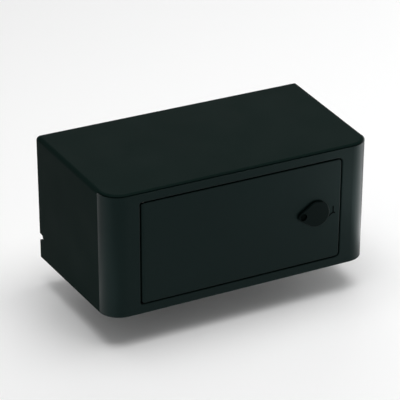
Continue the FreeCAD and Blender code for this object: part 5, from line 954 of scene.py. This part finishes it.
class GATE_OT_stage(bpy.types.Operator):
    """Set up floor, lamps and the camera at the photograph's view"""
    bl_idname = "gate.stage"
    bl_label = "Stage"

    # the heights between which the room's brightness goes from walls to ceiling
    WALL_TOP, CEILING_FROM = 0.08, 0.45
    FLOOR_RADIUS, FLOOR_DROP = 9.0, 0.5 * MM
    LOW_LAMP = CAD_BOX[0].z + 3.0 * MM
    # name, place, aim, size and power in watts
    LAMPS = (("Overhead softbox", (0.1, -0.3, 1.9), (-0.05, -0.1, -1.0), (1.8, 1.4), 30.0),
             ("Back softbox", (1.0, 2.0, 1.2), (-0.4, -0.8, -0.45), (1.6, 0.9), 9.0),
             ("Right softbox", (1.8, 0.25, 0.45), (-0.95, -0.15, -0.25), (0.9, 0.9), 8.0),
             ("Low right softbox", (0.44, -0.25, LOW_LAMP), (0, 0, 1), (0.38, 0.32), 1.0),
             ("Low left softbox", (-0.37, -0.17, LOW_LAMP), (0, 0, 1), (0.34, 0.24), 0.16))
    # the photograph's view, in degrees and metres
    TURN, RISE, ROLL = -27.307, 26.545, 0.1355
    CAMERA_PLACE = (-0.918, -1.8516, 0.9914)
    SENSOR, VIEW_END = 36.0, 50.0

    def room(self, world, look):
        """A plain room, brighter at eye level than above."""
        world.use_nodes = True
        tree = world.node_tree
        heading = tree.nodes.new("ShaderNodeSeparateXYZ")
        tree.links.new(tree.nodes.new("ShaderNodeTexCoord").outputs["Generated"], heading.inputs["Vector"])
        rise = tree.nodes.new("ShaderNodeMapRange")
        rise.interpolation_type = "SMOOTHSTEP"
        tree.links.new(heading.outputs["Z"], rise.inputs["Value"])
        for socket, value in (("From Min", self.WALL_TOP), ("From Max", self.CEILING_FROM),
                              ("To Min", look.walls), ("To Max", look.ceiling)):
            rise.inputs[socket].default_value = value
        background = tree.nodes["Background"]
        tree.links.new(rise.outputs["Result"], background.inputs["Strength"])
        background.inputs["Color"].default_value = (1, 1, 1, 1)

    def ground(self, collection, look):
        """A round floor just under the object."""
        work = bmesh.new()
        bmesh.ops.create_circle(work, cap_ends=True, segments=96, radius=self.FLOOR_RADIUS)
        bmesh.ops.translate(work, verts=work.verts, vec=(0, 0, CAD_BOX[0].z - self.FLOOR_DROP))
        mesh = bpy.data.meshes.new("floor")
        work.to_mesh(mesh)
        work.free()
        floor = bpy.data.objects.new("floor", mesh)
        mesh.materials.append(Finish("Pale floor", tuple(look.floor), 0.7, specular=0.2).material)
        collection.objects.link(floor)

    def lights(self, collection):
        """Soft lamps, which the camera doesn't see."""
        for name, place, aim, size, power in self.LAMPS:
            lamp = bpy.data.lights.new(name, "AREA")
            lamp.shape = "RECTANGLE"
            lamp.size, lamp.size_y = size
            lamp.energy = power
            holder = bpy.data.objects.new(name, lamp)
            holder.location = place
            holder.rotation_euler = Vector(aim).to_track_quat("-Z", "Y").to_euler()
            holder.visible_camera = False
            collection.objects.link(holder)

    def camera(self, collection, look):
        """A camera that sees the object as the photograph does."""
        view = bpy.data.cameras.new("Camera")
        view.lens = look.lens
        view.sensor_width = self.SENSOR
        view.clip_end = self.VIEW_END
        camera = bpy.data.objects.new("Camera", view)
        turn, rise, roll = math.radians(self.TURN), math.radians(self.RISE), math.radians(self.ROLL)
        back = Vector((math.sin(turn) * math.cos(rise), -math.cos(turn) * math.cos(rise), math.sin(rise)))
        level = Vector((math.cos(turn), math.sin(turn), 0))
        above = back.cross(level)
        right = math.cos(roll) * level + math.sin(roll) * above
        above = math.cos(roll) * above - math.sin(roll) * level
        place = Matrix((right, above, back)).transposed().to_4x4()
        place.translation = Vector(self.CAMERA_PLACE)
        camera.matrix_world = place
        collection.objects.link(camera)
        return camera

    def execute(self, context):
        scene = context.scene
        look = scene.gate_stage
        scene.view_settings.view_transform = "Standard"
        world = bpy.data.worlds.new("Studio")
        scene.world = world
        self.room(world, look)
        self.ground(scene.collection, look)
        self.lights(scene.collection)
        scene.camera = self.camera(scene.collection, look)
        return {"FINISHED"}


class GATE_PT_panel(bpy.types.Panel):
    """Lists the steps that dress the gate opener"""
    bl_label = "Gate opener"
    bl_idname = "GATE_PT_panel"
    bl_space_type = "VIEW_3D"
    bl_region_type = "UI"
    bl_category = "Gate opener"

    def draw(self, context):
        for step in STEPS:
            self.layout.operator(step.bl_idname)
        for group in SETTINGS:
            settings = getattr(context.scene, group)
            for name in settings.__annotations__:
                self.layout.prop(settings, name)


STEPS = (GATE_OT_cover, GATE_OT_turn_mark, GATE_OT_metal, GATE_OT_electrics, GATE_OT_terminals,
         GATE_OT_relays, GATE_OT_capacitor, GATE_OT_fuse, GATE_OT_board_parts, GATE_OT_windings,
         GATE_OT_gland, GATE_OT_stage)
SETTINGS = {"gate_cover": CoverSettings, "gate_metal": MetalSettings, "gate_board": BoardSettings,
            "gate_stage": StageSettings}


def register():
    """Make the settings, the steps and the panel known to Blender."""
    for group, kind in SETTINGS.items():
        bpy.utils.register_class(kind)
        setattr(bpy.types.Scene, group, PointerProperty(type=kind))
    for kind in STEPS:
        bpy.utils.register_class(kind)
    bpy.utils.register_class(GATE_PT_panel)


def unregister():
    """Take them away again."""
    bpy.utils.unregister_class(GATE_PT_panel)
    for kind in reversed(STEPS):
        bpy.utils.unregister_class(kind)
    for group, kind in SETTINGS.items():
        delattr(bpy.types.Scene, group)
        bpy.utils.unregister_class(kind)


def main():
    """Dress the whole object."""
    register()
    for step in STEPS:
        area, name = step.bl_idname.split(".")
        getattr(getattr(bpy.ops, area), name)()


if __name__ == "__main__":
    main()
